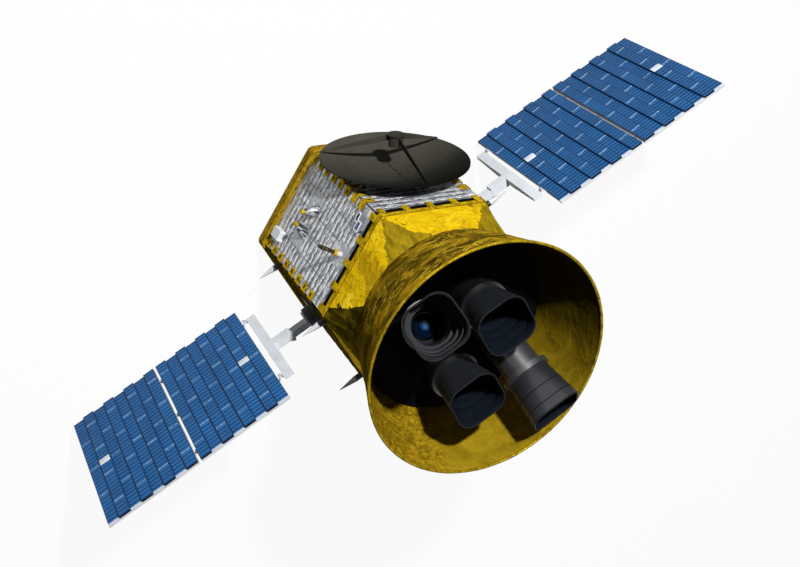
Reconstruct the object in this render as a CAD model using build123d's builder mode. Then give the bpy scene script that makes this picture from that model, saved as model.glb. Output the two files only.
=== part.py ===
from build123d import *
import os
from math import cos, radians, sin, sqrt, tan

os.makedirs("parts", exist_ok=True)

# Frame: millimetres, +Z is the boresight, the floor is z = 0, the wings lie along X, the cells face +Y.

# ------------------------------------------------------------------ heights along the boresight
RING_HEIGHT = 41.0
DECK_THICK = 65.0
PANEL_FOOT = 4.0            # gap between the rear deck and the side panels
PANEL_HEIGHT = 772.0
SHADOW_GAP = 21.0           # open joint between the side panels and the skirt
GAP_RECESS = 5.0            # from the side panels' outer side in to the black closeout in that joint
SKIRT_RIM = 32.0
SKIRT_RISE = 215.0
PLATE_THICK = 42.0
SHADE_RISE = 414.0

DECK_BOTTOM = RING_HEIGHT
DECK_TOP = DECK_BOTTOM + DECK_THICK
PANEL_BOTTOM = DECK_TOP + PANEL_FOOT
PANEL_TOP = PANEL_BOTTOM + PANEL_HEIGHT
SKIRT_BOTTOM = PANEL_TOP + SHADOW_GAP
SKIRT_SEAM = SKIRT_BOTTOM + SKIRT_RIM
SKIRT_TOP = SKIRT_SEAM + SKIRT_RISE
PLATE_TOP = SKIRT_TOP + PLATE_THICK
SHADE_TOP = SKIRT_TOP + SHADE_RISE

# ------------------------------------------------------------------ six-sided bus
FACES = 6
BUS_APOTHEM = 473.0         # axis to the outer side of a side panel
PANEL_THICK = 20.0
PANEL_EDGE_GAP = 5.0        # from a panel's mitred edge to the bus corner, along the face
DECK_OVERHANG = 22.0
DECK_BEVEL = 14.0
CORE_APOTHEM = BUS_APOTHEM - PANEL_THICK
DECK_APOTHEM = BUS_APOTHEM + DECK_OVERHANG
HALF_CORNER = radians(180 / FACES)
SILVER_FACES = (60, 120, 240, 300)
GOLD_FACES = (0, 180)


def hex_radius(apothem):
    return apothem / cos(HALF_CORNER)


def face_plane(angle, distance):
    """Plane on a bus face: local x runs round the bus, local y is the boresight."""
    outward = (cos(radians(angle)), sin(radians(angle)), 0)
    along = (-sin(radians(angle)), cos(radians(angle)), 0)
    foot = (distance * outward[0], distance * outward[1], 0)
    return Plane(origin=foot, x_dir=along, z_dir=outward)


# ------------------------------------------------------------------ adapter ring
RING_OUTER_R = 307.0
RING_INNER_R = 283.0
RING_FLANGE = 9.0
RING_WEB_R = 292.0
RING_WEB_WALL = 5.0
RING_BOLT_PCD = 590.55
RING_BOLTS = 32
RING_BOLT_R = 3.3

with BuildPart() as adapter_ring:
    with BuildSketch(Plane.XZ) as ring_profile:
        with BuildLine():
            Polyline(
                (RING_INNER_R, 0),
                (RING_OUTER_R, 0),
                (RING_OUTER_R, RING_FLANGE),
                (RING_WEB_R, RING_FLANGE),
                (RING_WEB_R, RING_HEIGHT - RING_FLANGE),
                (RING_OUTER_R, RING_HEIGHT - RING_FLANGE),
                (RING_OUTER_R, RING_HEIGHT),
                (RING_INNER_R, RING_HEIGHT),
                (RING_INNER_R, RING_HEIGHT - RING_FLANGE),
                (RING_WEB_R - RING_WEB_WALL, RING_HEIGHT - RING_FLANGE),
                (RING_WEB_R - RING_WEB_WALL, RING_FLANGE),
                (RING_INNER_R, RING_FLANGE),
                close=True,
            )
        make_face()
    revolve(axis=Axis.Z)
    with BuildSketch(Plane.XY):
        with PolarLocations(RING_BOLT_PCD / 2, RING_BOLTS):
            Circle(RING_BOLT_R)
    extrude(amount=RING_FLANGE, mode=Mode.SUBTRACT)
adapter_ring.part.label = "adapter_ring"
export_step(adapter_ring.part, "parts/adapter_ring.step")

# ------------------------------------------------------------------ rear deck and bus core
with BuildPart() as rear_deck:
    with BuildSketch(Plane.XY.offset(DECK_BOTTOM)):
        RegularPolygon(hex_radius(DECK_APOTHEM), FACES, rotation=30)
    extrude(amount=DECK_THICK)
    chamfer(rear_deck.edges().filter_by(Axis.Z), DECK_BEVEL)
    chamfer(rear_deck.faces().sort_by(Axis.Z)[-1].edges(), DECK_BEVEL / 2)
rear_deck.part.label = "rear_deck"
export_step(rear_deck.part, "parts/rear_deck.step")

with BuildPart() as bus_core:
    with BuildSketch(Plane.XY.offset(DECK_TOP)):
        RegularPolygon(hex_radius(CORE_APOTHEM), FACES, rotation=30)
    extrude(amount=SKIRT_BOTTOM - DECK_TOP)
    with BuildSketch(Plane.XY.offset(PANEL_TOP)):
        RegularPolygon(hex_radius(BUS_APOTHEM - GAP_RECESS), FACES, rotation=30)
    extrude(amount=SHADOW_GAP)
bus_core.part.label = "bus_core"
export_step(bus_core.part, "parts/bus_core.step")

# ------------------------------------------------------------------ side panels
panel_inner_half = CORE_APOTHEM * tan(HALF_CORNER) - PANEL_EDGE_GAP
panel_outer_half = BUS_APOTHEM * tan(HALF_CORNER) - PANEL_EDGE_GAP
PANEL_PLAN = (
    (CORE_APOTHEM, -panel_inner_half),
    (BUS_APOTHEM, -panel_outer_half),
    (BUS_APOTHEM, panel_outer_half),
    (CORE_APOTHEM, panel_inner_half),
)

with BuildPart() as silver_side_panels:
    for angle in SILVER_FACES:
        with BuildSketch(Plane.XY.offset(PANEL_BOTTOM).rotated((0, 0, angle))):
            with BuildLine():
                Polyline(*PANEL_PLAN, close=True)
            make_face()
        extrude(amount=PANEL_HEIGHT)
silver_side_panels.part.label = "silver_side_panels"
export_step(silver_side_panels.part, "parts/silver_side_panels.step")

with BuildPart() as gold_side_panels:
    for angle in GOLD_FACES:
        with BuildSketch(Plane.XY.offset(PANEL_BOTTOM).rotated((0, 0, angle))):
            with BuildLine():
                Polyline(*PANEL_PLAN, close=True)
            make_face()
        extrude(amount=PANEL_HEIGHT)
gold_side_panels.part.label = "gold_side_panels"
export_step(gold_side_panels.part, "parts/gold_side_panels.step")

# ------------------------------------------------------------------ straps and corner clips
CLIP_ROWS = 8
CLIP_PITCH = 87.3
CLIP_FIRST = 132.0          # height of the lowest clip's middle
CLIP_LENGTH = 50.0
CLIP_LEG = 46.0
CLIP_THICK = 4.0

with BuildPart() as corner_clips:
    for corner in range(FACES):
        corner_angle = 30 + 60 * corner
        toward = (cos(radians(corner_angle)), sin(radians(corner_angle)))
        with BuildSketch(Plane.XY) as clip_profile:
            with BuildLine():
                outer_r = hex_radius(BUS_APOTHEM + CLIP_THICK)
                inner_r = hex_radius(BUS_APOTHEM)
                left = radians(corner_angle + 120)
                right = radians(corner_angle - 120)
                tip_out = (outer_r * toward[0], outer_r * toward[1])
                tip_in = (inner_r * toward[0], inner_r * toward[1])
                Polyline(
                    tip_out,
                    (tip_out[0] + CLIP_LEG * cos(left), tip_out[1] + CLIP_LEG * sin(left)),
                    (tip_in[0] + CLIP_LEG * cos(left), tip_in[1] + CLIP_LEG * sin(left)),
                    tip_in,
                    (tip_in[0] + CLIP_LEG * cos(right), tip_in[1] + CLIP_LEG * sin(right)),
                    (tip_out[0] + CLIP_LEG * cos(right), tip_out[1] + CLIP_LEG * sin(right)),
                    close=True,
                )
            make_face()
        for row in range(CLIP_ROWS):
            row_bottom = CLIP_FIRST + row * CLIP_PITCH - CLIP_LENGTH / 2
            extrude(clip_profile.sketch.moved(Location((0, 0, row_bottom))), amount=CLIP_LENGTH)
corner_clips.part.label = "corner_clips"
export_step(corner_clips.part, "parts/corner_clips.step")

TAB_COUNT = 5
TAB_PITCH = 124.0
TAB_WIDTH = 34.0
TAB_THICK = 5.0
TAB_OVERLAP = 26.0
TAB_BOTTOM = PANEL_TOP - TAB_OVERLAP
TAB_TOP = SKIRT_SEAM - 2.0

with BuildPart() as skirt_tabs:
    for face in range(FACES):
        with BuildSketch(face_plane(60 * face, BUS_APOTHEM)):
            with Locations((0, (TAB_BOTTOM + TAB_TOP) / 2)):
                with GridLocations(TAB_PITCH, 1, TAB_COUNT, 1):
                    RectangleRounded(TAB_WIDTH, TAB_TOP - TAB_BOTTOM, TAB_THICK)
        extrude(amount=TAB_THICK)
skirt_tabs.part.label = "skirt_tabs"
export_step(skirt_tabs.part, "parts/skirt_tabs.step")

# ------------------------------------------------------------------ hex-to-round skirt
SKIRT_TOP_INSET = 9.0       # from the bus's side in to the round top
SKIRT_TOP_R = BUS_APOTHEM - SKIRT_TOP_INSET
SKIRT_CORNER_CUT = 3.0      # along each side, where a corner facet starts
SKIRT_FACETS = 2 * FACES    # a wide one over each face and a narrow one over each corner
skirt_facet_angle = 360 / SKIRT_FACETS
skirt_side_half = BUS_APOTHEM * tan(HALF_CORNER) - SKIRT_CORNER_CUT


def skirt_foot_point(face, end):
    """One end of a side of the skirt's foot; end is -1 or 1."""
    turn = radians(60 * face)
    along = end * skirt_side_half
    return (BUS_APOTHEM * cos(turn) - along * sin(turn), BUS_APOTHEM * sin(turn) + along * cos(turn))


def skirt_top_point(angle):
    """A point of the skirt's round top."""
    return (SKIRT_TOP_R * cos(radians(angle)), SKIRT_TOP_R * sin(radians(angle)))


SKIRT_FOOT = [skirt_foot_point(face, end) for face in range(FACES) for end in (-1, 1)]

with BuildPart() as skirt:
    with BuildSketch(Plane.XY.offset(SKIRT_BOTTOM)):
        with BuildLine():
            Polyline(*SKIRT_FOOT, close=True)
        make_face()
    extrude(amount=SKIRT_RIM)
    with BuildSketch(Plane.XY.offset(SKIRT_SEAM)) as skirt_foot:
        with BuildLine():
            Polyline(*SKIRT_FOOT, close=True)
        make_face()
    with BuildSketch(Plane.XY.offset(SKIRT_TOP)) as skirt_head:
        with BuildLine():
            for facet in range(SKIRT_FACETS):
                ThreePointArc(
                    skirt_top_point((facet - 0.5) * skirt_facet_angle),
                    skirt_top_point(facet * skirt_facet_angle),
                    skirt_top_point((facet + 0.5) * skirt_facet_angle),
                )
        make_face()
    loft([skirt_foot.sketch, skirt_head.sketch], ruled=True)
skirt.part.label = "skirt"
export_step(skirt.part, "parts/skirt.step")

# ------------------------------------------------------------------ instrument plate and sunshade
SHADE_WALL = 6.0
SHADE_TOP_R = 584.0
SHADE_BEAD_R = 7.0
PLATE_R = SKIRT_TOP_R - SHADE_WALL

with BuildPart() as instrument_plate:
    with BuildSketch(Plane.XY.offset(SKIRT_TOP)):
        Circle(PLATE_R)
    extrude(amount=PLATE_THICK)
    chamfer(instrument_plate.edges().sort_by(Axis.Z)[-1], 3)
instrument_plate.part.label = "instrument_plate"
export_step(instrument_plate.part, "parts/instrument_plate.step")

with BuildPart() as sunshade:
    with BuildSketch(Plane.XZ):
        with BuildLine():
            Polyline(
                (SKIRT_TOP_R - SHADE_WALL, SKIRT_TOP),
                (SKIRT_TOP_R, SKIRT_TOP),
                (SHADE_TOP_R, SHADE_TOP - SHADE_BEAD_R),
                (SHADE_TOP_R - SHADE_WALL, SHADE_TOP - SHADE_BEAD_R),
                close=True,
            )
        make_face()
        with Locations((SHADE_TOP_R - SHADE_WALL / 2, SHADE_TOP - SHADE_BEAD_R)):
            Circle(SHADE_BEAD_R)
    revolve(axis=Axis.Z)
sunshade.part.label = "sunshade"
export_step(sunshade.part, "parts/sunshade.step")

# ------------------------------------------------------------------ four cameras
MOUTH_HALF = 125.0
MOUTH_CORNER = 76.0
HOOD_LENGTH = 213.0
HOOD_ROOT_R = 104.0
HOOD_WALL = 5.0
COLLAR_R = 119.0
COLLAR_THICK = 26.0
BARREL_R = 94.0
BARREL_BORE_R = 84.0
LENS_DEPTH = 345.0          # mouth to the lens seat
LENS_R = 58.0
LENS_THICK = 26.0
LENS_CROWN = 14.0
WEDGE_R = 90.0

# One row per camera: x, y and z of the mouth's middle, tilt of the axis toward +Y in degrees,
# length of the barrel behind the hood.
CAMERAS = (
    (-139.0, 412.0, 1644.0, 34.0, 255.0),
    (139.0, 127.0, 1582.0, 2.4, 154.0),
    (-139.0, -127.0, 1582.0, -2.4, 154.0),
    (139.0, -412.0, 1644.0, -34.0, 255.0),
)


def camera_plane(camera, depth):
    """Plane across a camera's axis, depth millimetres behind its mouth."""
    x, y, z, tilt, _ = camera
    axis = (0, sin(radians(tilt)), cos(radians(tilt)))
    origin = (x, y - depth * axis[1], z - depth * axis[2])
    return Plane(origin=origin, x_dir=(1, 0, 0), z_dir=axis)


with BuildPart() as camera_hoods:
    for camera in CAMERAS:
        with BuildSketch(camera_plane(camera, HOOD_LENGTH)) as hood_root:
            RectangleRounded(2 * HOOD_ROOT_R, 2 * HOOD_ROOT_R, HOOD_ROOT_R - 1)
        with BuildSketch(camera_plane(camera, 0)) as hood_mouth:
            RectangleRounded(2 * MOUTH_HALF, 2 * MOUTH_HALF, MOUTH_CORNER)
        loft([hood_root.sketch, hood_mouth.sketch], ruled=True)
        with BuildSketch(camera_plane(camera, HOOD_LENGTH)) as bore_root:
            RectangleRounded(
                2 * (HOOD_ROOT_R - HOOD_WALL),
                2 * (HOOD_ROOT_R - HOOD_WALL),
                HOOD_ROOT_R - HOOD_WALL - 1,
            )
        with BuildSketch(camera_plane(camera, 0)) as bore_mouth:
            RectangleRounded(
                2 * (MOUTH_HALF - HOOD_WALL),
                2 * (MOUTH_HALF - HOOD_WALL),
                MOUTH_CORNER - HOOD_WALL,
            )
        loft([bore_root.sketch, bore_mouth.sketch], ruled=True, mode=Mode.SUBTRACT)
camera_hoods.part.label = "camera_hoods"
export_step(camera_hoods.part, "parts/camera_hoods.step")

with BuildPart() as camera_barrels:
    for camera in CAMERAS:
        barrel_length = camera[4]
        with BuildSketch(camera_plane(camera, HOOD_LENGTH + COLLAR_THICK)):
            Circle(COLLAR_R)
        extrude(amount=COLLAR_THICK)
        with BuildSketch(camera_plane(camera, HOOD_LENGTH + COLLAR_THICK)):
            Circle(BARREL_R)
        extrude(amount=COLLAR_THICK - barrel_length)
        with BuildSketch(camera_plane(camera, LENS_DEPTH)):
            Circle(BARREL_BORE_R)
        extrude(amount=LENS_DEPTH - HOOD_LENGTH, mode=Mode.SUBTRACT)
camera_barrels.part.label = "camera_barrels"
export_step(camera_barrels.part, "parts/camera_barrels.step")

with BuildPart() as camera_lenses:
    for camera in CAMERAS:
        lens_plane = camera_plane(camera, LENS_DEPTH)
        along_axis = Plane(origin=lens_plane.origin, x_dir=lens_plane.x_dir, z_dir=-lens_plane.y_dir)
        with BuildSketch(along_axis):
            with BuildLine():
                Line((0, 0), (LENS_R, 0))
                Line((LENS_R, 0), (LENS_R, LENS_THICK))
                crown_r = (LENS_R ** 2 + LENS_CROWN ** 2) / (2 * LENS_CROWN)
                RadiusArc((LENS_R, LENS_THICK), (0, LENS_THICK + LENS_CROWN), -crown_r)
                Line((0, LENS_THICK + LENS_CROWN), (0, 0))
            make_face()
        revolve(axis=Axis(lens_plane.origin, lens_plane.z_dir))
camera_lenses.part.label = "camera_lenses"
export_step(camera_lenses.part, "parts/camera_lenses.step")

with BuildPart() as camera_wedges:
    for camera in CAMERAS:
        barrel_end = HOOD_LENGTH + camera[4]
        wedge_reach = 2 * WEDGE_R
        with BuildSketch(camera_plane(camera, barrel_end)):
            Circle(WEDGE_R)
        extrude(amount=-wedge_reach)
    with BuildSketch(Plane.XY.offset(PLATE_TOP)):
        Circle(2 * SHADE_TOP_R)
    extrude(amount=-SKIRT_TOP, mode=Mode.SUBTRACT)
camera_wedges.part.label = "camera_wedges"
export_step(camera_wedges.part, "parts/camera_wedges.step")

# ------------------------------------------------------------------ dish antenna on the 60 degree face
DISH_ANGLE = 60
DISH_HEIGHT = 482.6         # height of the dish's axis
DISH_R = 374.3
DISH_RIM_OUT = 559.3        # axis of the bus to the rim's plane
DISH_DEPTH = 76.0
DISH_WALL = 4.0
DISH_LIP = 5.0
HUB_R = 116.0
STANDOFF_R = 9.0
STANDOFF_CIRCLE_R = 250.0
FEED_R = 36.0
FEED_DISC_R = 44.0
FEED_DISC_THICK = 5.0
FEED_STANDOFF = 64.7        # from the rim's plane out to the feed
FEED_LENGTH = 61.0
FEED_OUT = DISH_RIM_OUT + FEED_STANDOFF
FEED_TOP_OUT = FEED_OUT + FEED_LENGTH
BLADE_THICK = 4.0
BLADE_FEED_DEPTH = 32.0
BLADE_RIM_DEPTH = 8.0
BLADES = 3
dish_out = (cos(radians(DISH_ANGLE)), sin(radians(DISH_ANGLE)), 0)
dish_side = (-sin(radians(DISH_ANGLE)), cos(radians(DISH_ANGLE)), 0)


def dish_point(out, side=0.0, height=DISH_HEIGHT):
    """Point at a distance out along the dish's axis."""
    return (
        out * dish_out[0] + side * dish_side[0],
        out * dish_out[1] + side * dish_side[1],
        height,
    )


dish_axis = Axis(dish_point(0), dish_out)
dish_profile_plane = Plane(origin=dish_point(0), x_dir=dish_side, z_dir=(0, 0, -1))
DISH_VERTEX_OUT = DISH_RIM_OUT - DISH_DEPTH


def bowl_middle(vertex_out, depth):
    """Point at half radius on the round bowl of this depth, whose centre lies on the dish's axis."""
    bowl_r = (DISH_R ** 2 + depth ** 2) / (2 * depth)
    return (DISH_R / 2, vertex_out + bowl_r - sqrt(bowl_r ** 2 - DISH_R ** 2 / 4))


DISH_FRONT_MIDDLE = bowl_middle(DISH_VERTEX_OUT, DISH_DEPTH)
DISH_BACK_EDGE = (DISH_R, DISH_RIM_OUT - DISH_LIP)
DISH_BACK_MIDDLE = bowl_middle(DISH_VERTEX_OUT - DISH_WALL, DISH_DEPTH + DISH_WALL - DISH_LIP)
DISH_BACK_VERTEX = (0, DISH_VERTEX_OUT - DISH_WALL)

with BuildPart() as dish:
    with BuildSketch(dish_profile_plane) as dish_profile:
        with BuildLine():
            ThreePointArc((0, DISH_VERTEX_OUT), DISH_FRONT_MIDDLE, (DISH_R, DISH_RIM_OUT))
            Line((DISH_R, DISH_RIM_OUT), DISH_BACK_EDGE)
            ThreePointArc(DISH_BACK_EDGE, DISH_BACK_MIDDLE, DISH_BACK_VERTEX)
            Line(DISH_BACK_VERTEX, (0, DISH_VERTEX_OUT))
        make_face()
    revolve(axis=dish_axis)
dish.part.label = "dish"
export_step(dish.part, "parts/dish.step")

with BuildPart() as dish_filled:
    with BuildSketch(dish_profile_plane):
        with BuildLine():
            ThreePointArc(DISH_BACK_EDGE, DISH_BACK_MIDDLE, DISH_BACK_VERTEX)
            Line(DISH_BACK_VERTEX, (0, DISH_RIM_OUT))
            Line((0, DISH_RIM_OUT), (DISH_R, DISH_RIM_OUT))
            Line((DISH_R, DISH_RIM_OUT), DISH_BACK_EDGE)
        make_face()
    revolve(axis=dish_axis)

dish_face = face_plane(DISH_ANGLE, BUS_APOTHEM)

with BuildPart() as dish_mount:
    with BuildSketch(dish_face):
        with Locations((0, DISH_HEIGHT)):
            Circle(HUB_R)
            with PolarLocations(STANDOFF_CIRCLE_R, 6, start_angle=30):
                Circle(STANDOFF_R)
    extrude(amount=DISH_RIM_OUT - BUS_APOTHEM)
    add(dish_filled.part, mode=Mode.SUBTRACT)
dish_mount.part.label = "dish_mount"
export_step(dish_mount.part, "parts/dish_mount.step")

with BuildPart() as dish_feed:
    with BuildSketch(face_plane(DISH_ANGLE, FEED_OUT)):
        with Locations((0, DISH_HEIGHT)):
            Circle(FEED_R)
    extrude(amount=FEED_TOP_OUT - FEED_OUT)
    with BuildSketch(face_plane(DISH_ANGLE, FEED_TOP_OUT - FEED_DISC_THICK)):
        with Locations((0, DISH_HEIGHT)):
            Circle(FEED_DISC_R)
    extrude(amount=FEED_DISC_THICK)
dish_feed.part.label = "dish_feed"
export_step(dish_feed.part, "parts/dish_feed.step")

with BuildPart() as dish_struts:
    for blade in range(BLADES):
        around = radians(90 + 120 * blade)
        blade_dir = (
            cos(around) * dish_side[0],
            cos(around) * dish_side[1],
            sin(around),
        )
        blade_plane = Plane(
            origin=dish_point(0),
            x_dir=blade_dir,
            z_dir=Vector(*blade_dir).cross(Vector(*dish_out)),
        )
        with BuildSketch(blade_plane):
            with BuildLine():
                Polyline(
                    (FEED_R, FEED_TOP_OUT - FEED_DISC_THICK),
                    (FEED_R, FEED_TOP_OUT - FEED_DISC_THICK - BLADE_FEED_DEPTH),
                    (DISH_R - 6, DISH_RIM_OUT),
                    (DISH_R, DISH_RIM_OUT),
                    (DISH_R, DISH_RIM_OUT + BLADE_RIM_DEPTH),
                    close=True,
                )
            make_face()
        extrude(amount=BLADE_THICK / 2, both=True)
    with BuildSketch(face_plane(DISH_ANGLE, FEED_OUT)):
        with Locations((0, DISH_HEIGHT)):
            Circle(FEED_R)
    extrude(amount=FEED_TOP_OUT - FEED_OUT, mode=Mode.SUBTRACT)
dish_struts.part.label = "dish_struts"
export_step(dish_struts.part, "parts/dish_struts.step")

# ------------------------------------------------------------------ instruments on the 120 degree face
KIT_ANGLE = 120
kit_face = face_plane(KIT_ANGLE, BUS_APOTHEM)
PAD_WIDTH = 118.0
PAD_HEIGHT = 122.0
PAD_THICK = 3.0
# One row per pad: place along the face, height.
PADS = (
    (-90.0, 363.0),
    (88.0, 367.0),
    (-2.0, 794.0),
)

with BuildPart() as face_pads:
    with BuildSketch(kit_face):
        with Locations(*PADS):
            RectangleRounded(PAD_WIDTH, PAD_HEIGHT, 4)
    extrude(amount=PAD_THICK)
face_pads.part.label = "face_pads"
export_step(face_pads.part, "parts/face_pads.step")

kit_pad_face = face_plane(KIT_ANGLE, BUS_APOTHEM + PAD_THICK)
HORN_HEIGHT = 404.0
HORN_SPREAD = 120.0
HORN_LEAN = 23.0
HORN_FOOT_R = 32.0
HORN_NECK_R = 15.0
HORN_LENGTH = 56.0
KNOB_R = 12.0
KNOB_LENGTH = 20.0
kit_out = (cos(radians(KIT_ANGLE)), sin(radians(KIT_ANGLE)), 0)
kit_side = (-sin(radians(KIT_ANGLE)), cos(radians(KIT_ANGLE)), 0)
kit_axis = Axis((0, 0, 0), kit_out)


def horn_plane(side, out):
    """Plane across a horn antenna's leaning axis, out millimetres from its foot."""
    lean = radians(HORN_LEAN) * -side
    axis = tuple(cos(lean) * kit_out[i] + sin(lean) * kit_side[i] for i in range(3))
    foot_out = BUS_APOTHEM + PAD_THICK + HORN_FOOT_R * sin(radians(HORN_LEAN)) * 0.5
    foot = tuple(foot_out * kit_out[i] + side * HORN_SPREAD / 2 * kit_side[i] for i in range(3))
    origin = tuple(foot[i] + out * axis[i] for i in range(3))
    return Plane(origin=(origin[0], origin[1], HORN_HEIGHT), x_dir=(0, 0, 1), z_dir=axis)


with BuildPart() as horn_antennas:
    for side in (-1, 1):
        with BuildSketch(horn_plane(side, -HORN_FOOT_R / 2)) as horn_foot:
            Circle(HORN_FOOT_R)
        with BuildSketch(horn_plane(side, HORN_LENGTH)) as horn_neck:
            Circle(HORN_NECK_R)
        loft([horn_foot.sketch, horn_neck.sketch], ruled=True)
    split(bisect_by=kit_pad_face, keep=Keep.TOP)
horn_antennas.part.label = "horn_antennas"
export_step(horn_antennas.part, "parts/horn_antennas.step")

with BuildPart() as horn_knobs:
    for side in (-1, 1):
        with BuildSketch(horn_plane(side, HORN_LENGTH)):
            Circle(KNOB_R)
        extrude(amount=KNOB_LENGTH)
    chamfer(horn_knobs.edges().filter_by(GeomType.CIRCLE), 3)
horn_knobs.part.label = "horn_knobs"
export_step(horn_knobs.part, "parts/horn_knobs.step")

ROD_SIDE = -4.0
ROD_HEIGHT = 803.0
ROD_SOCKET_R = 14.0
ROD_SOCKET_LENGTH = 26.0
ROD_COLLAR_R = 18.0
ROD_COLLAR_LENGTH = 14.0
ROD_R = 10.0
ROD_LENGTH = 128.0

with BuildPart() as rod_antenna:
    with BuildSketch(kit_pad_face):
        with Locations((ROD_SIDE, ROD_HEIGHT)):
            Circle(ROD_SOCKET_R)
    extrude(amount=ROD_SOCKET_LENGTH)
    with BuildSketch(kit_pad_face.offset(ROD_SOCKET_LENGTH)):
        with Locations((ROD_SIDE, ROD_HEIGHT)):
            Circle(ROD_COLLAR_R)
    extrude(amount=ROD_COLLAR_LENGTH)
    with BuildSketch(kit_pad_face.offset(ROD_SOCKET_LENGTH)):
        with Locations((ROD_SIDE, ROD_HEIGHT)):
            Circle(ROD_R)
    extrude(amount=ROD_LENGTH - ROD_SOCKET_LENGTH)
rod_antenna.part.label = "rod_antenna"
export_step(rod_antenna.part, "parts/rod_antenna.step")

SENSOR_THICK = 17.0
SENSOR_WINDOW = (26.0, 32.0)
SENSOR_WINDOW_AT = (-168.0, 829.0)
SENSOR_PORT = (26.0, 16.0)
SENSOR_PORT_AT = (-201.0, 793.0)
SENSOR_POCKET = 7.0
SENSOR_CHAMFER = 4.0
SENSOR_OUTLINE = (
    (-220.0, 760.0),
    (-184.0, 760.0),
    (-148.0, 788.0),
    (-144.0, 850.0),
    (-164.0, 872.0),
    (-229.0, 872.0),
    (-229.0, 774.0),
)

with BuildPart() as attitude_sensor:
    with BuildSketch(kit_face):
        with BuildLine():
            Polyline(*SENSOR_OUTLINE, close=True)
        make_face()
    extrude(amount=SENSOR_THICK)
    chamfer(attitude_sensor.faces().sort_by(kit_axis)[-1].edges(), SENSOR_CHAMFER)
    with BuildSketch(kit_face.offset(SENSOR_THICK - SENSOR_POCKET)):
        with Locations(SENSOR_WINDOW_AT):
            Rectangle(*SENSOR_WINDOW)
        with Locations(SENSOR_PORT_AT):
            Ellipse(SENSOR_PORT[0] / 2, SENSOR_PORT[1] / 2)
    extrude(amount=SENSOR_POCKET, mode=Mode.SUBTRACT)
attitude_sensor.part.label = "attitude_sensor"
export_step(attitude_sensor.part, "parts/attitude_sensor.step")

BOX_SIDE = 172.0
BOX_HEIGHT = 192.0
BOX_SIZE = (58.0, 88.0, 32.0)
BOX_CHAMFER = 3.0
BOX_ROUND = 6.0

with BuildPart() as electronics_box:
    with BuildSketch(kit_face):
        with Locations((BOX_SIDE, BOX_HEIGHT)):
            RectangleRounded(BOX_SIZE[0], BOX_SIZE[1], BOX_ROUND)
    extrude(amount=BOX_SIZE[2])
    chamfer(electronics_box.faces().sort_by(kit_axis)[-1].edges(), BOX_CHAMFER)
electronics_box.part.label = "electronics_box"
export_step(electronics_box.part, "parts/electronics_box.step")

# ------------------------------------------------------------------ hold-down posts on the wing faces
POST_OFFSETS = (-200.0, 200.0)
POST_HEIGHTS = (226.0, 860.0)
POST_BASE_R = 15.0
POST_BASE_LENGTH = 33.0
POST_CONE_R = 16.0
POST_TIP_R = 1.5
POST_TIP_AT = 604.0

with BuildPart() as hold_down_bases:
    for face in GOLD_FACES:
        with BuildSketch(face_plane(face, BUS_APOTHEM)):
            with Locations(*[(offset, height) for offset in POST_OFFSETS for height in POST_HEIGHTS]):
                Circle(POST_BASE_R)
        extrude(amount=POST_BASE_LENGTH)
hold_down_bases.part.label = "hold_down_bases"
export_step(hold_down_bases.part, "parts/hold_down_bases.step")

with BuildPart() as hold_down_cones:
    for face in GOLD_FACES:
        for offset in POST_OFFSETS:
            for height in POST_HEIGHTS:
                with BuildSketch(face_plane(face, BUS_APOTHEM + POST_BASE_LENGTH)) as cone_foot:
                    with Locations((offset, height)):
                        Circle(POST_CONE_R)
                with BuildSketch(face_plane(face, POST_TIP_AT)) as cone_tip:
                    with Locations((offset, height)):
                        Circle(POST_TIP_R)
                loft([cone_foot.sketch, cone_tip.sketch], ruled=True)
hold_down_cones.part.label = "hold_down_cones"
export_step(hold_down_cones.part, "parts/hold_down_cones.step")

# ------------------------------------------------------------------ wing drives, arms and yokes
WING_AXIS = 481.0           # height of the wings' turning axis
DRIVE_PLATE = (150.0, 170.0, 12.0)
DRIVE_R = 56.0
DRIVE_LENGTH = 44.0
DRIVE_SHAFT_R = 30.0
RUN_GAP = 0.4
ARM_WIDTH = 45.0            # along the boresight
ARM_FRONT = -2.0
ARM_BACK = -38.0
ARM_FLANGE_R = 44.0
ARM_FLANGE_THICK = 10.0
FOLD_X = 637.0              # root fold line
FOLD_Y = -48.0
FOLD_PIN_R = 6.5
FOLD_GAP = 0.5
STEM_FRONT = 10.0
STEM_BACK = -40.0
STEM_WIDTH = 48.0
BAR_INNER = 737.0
BAR_OUTER = 787.0
BAR_HALF = 305.0
BAR_FRONT = 10.0
BAR_BACK_MIDDLE = -32.0
BAR_BACK_END = -10.0
BAR_WEB_WIDTH = 130.0
INNER_AXIS_X = 802.0
INNER_AXIS_Y = 17.0
HINGE_R = 5.5
KNUCKLE = 12.0
KNUCKLE_GAP = 0.4
HINGE_OFFSET = 285.0        # wing axis to the hinges at both ends of the yoke
CHEEK_RUN = 24.0            # root fold line to where its cheeks meet the stem

# ------------------------------------------------------------------ wing panels
PANEL_IN = 817.5
PANEL_SPAN = 510.0
PANEL_GAP = 15.0
WING_HALF = 439.35
SUBSTRATE_BACK = -16.0
SUBSTRATE_FRONT = -4.0
LOW_FRONT = -1.0
RAISED_FRONT = 8.0
STRIPS = 8
STRIP_GAP = 1.5
WHITE_MARGIN = 18.0
STRIP_PITCH = PANEL_SPAN / STRIPS
SECOND_PANEL_IN = PANEL_IN + PANEL_SPAN + PANEL_GAP
OUTER_HINGE_HEIGHTS = (-331.0, 2.0, 339.0)
OUTER_AXIS_X = SECOND_PANEL_IN - PANEL_GAP / 2
OUTER_AXIS_Y = -21.0
LEAF_REACH = 22.0           # how far a hinge leaf runs along the board's back
LEAF_THICK = 4.0


def wing_plane(height):
    return Plane.XY.offset(height)


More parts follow.
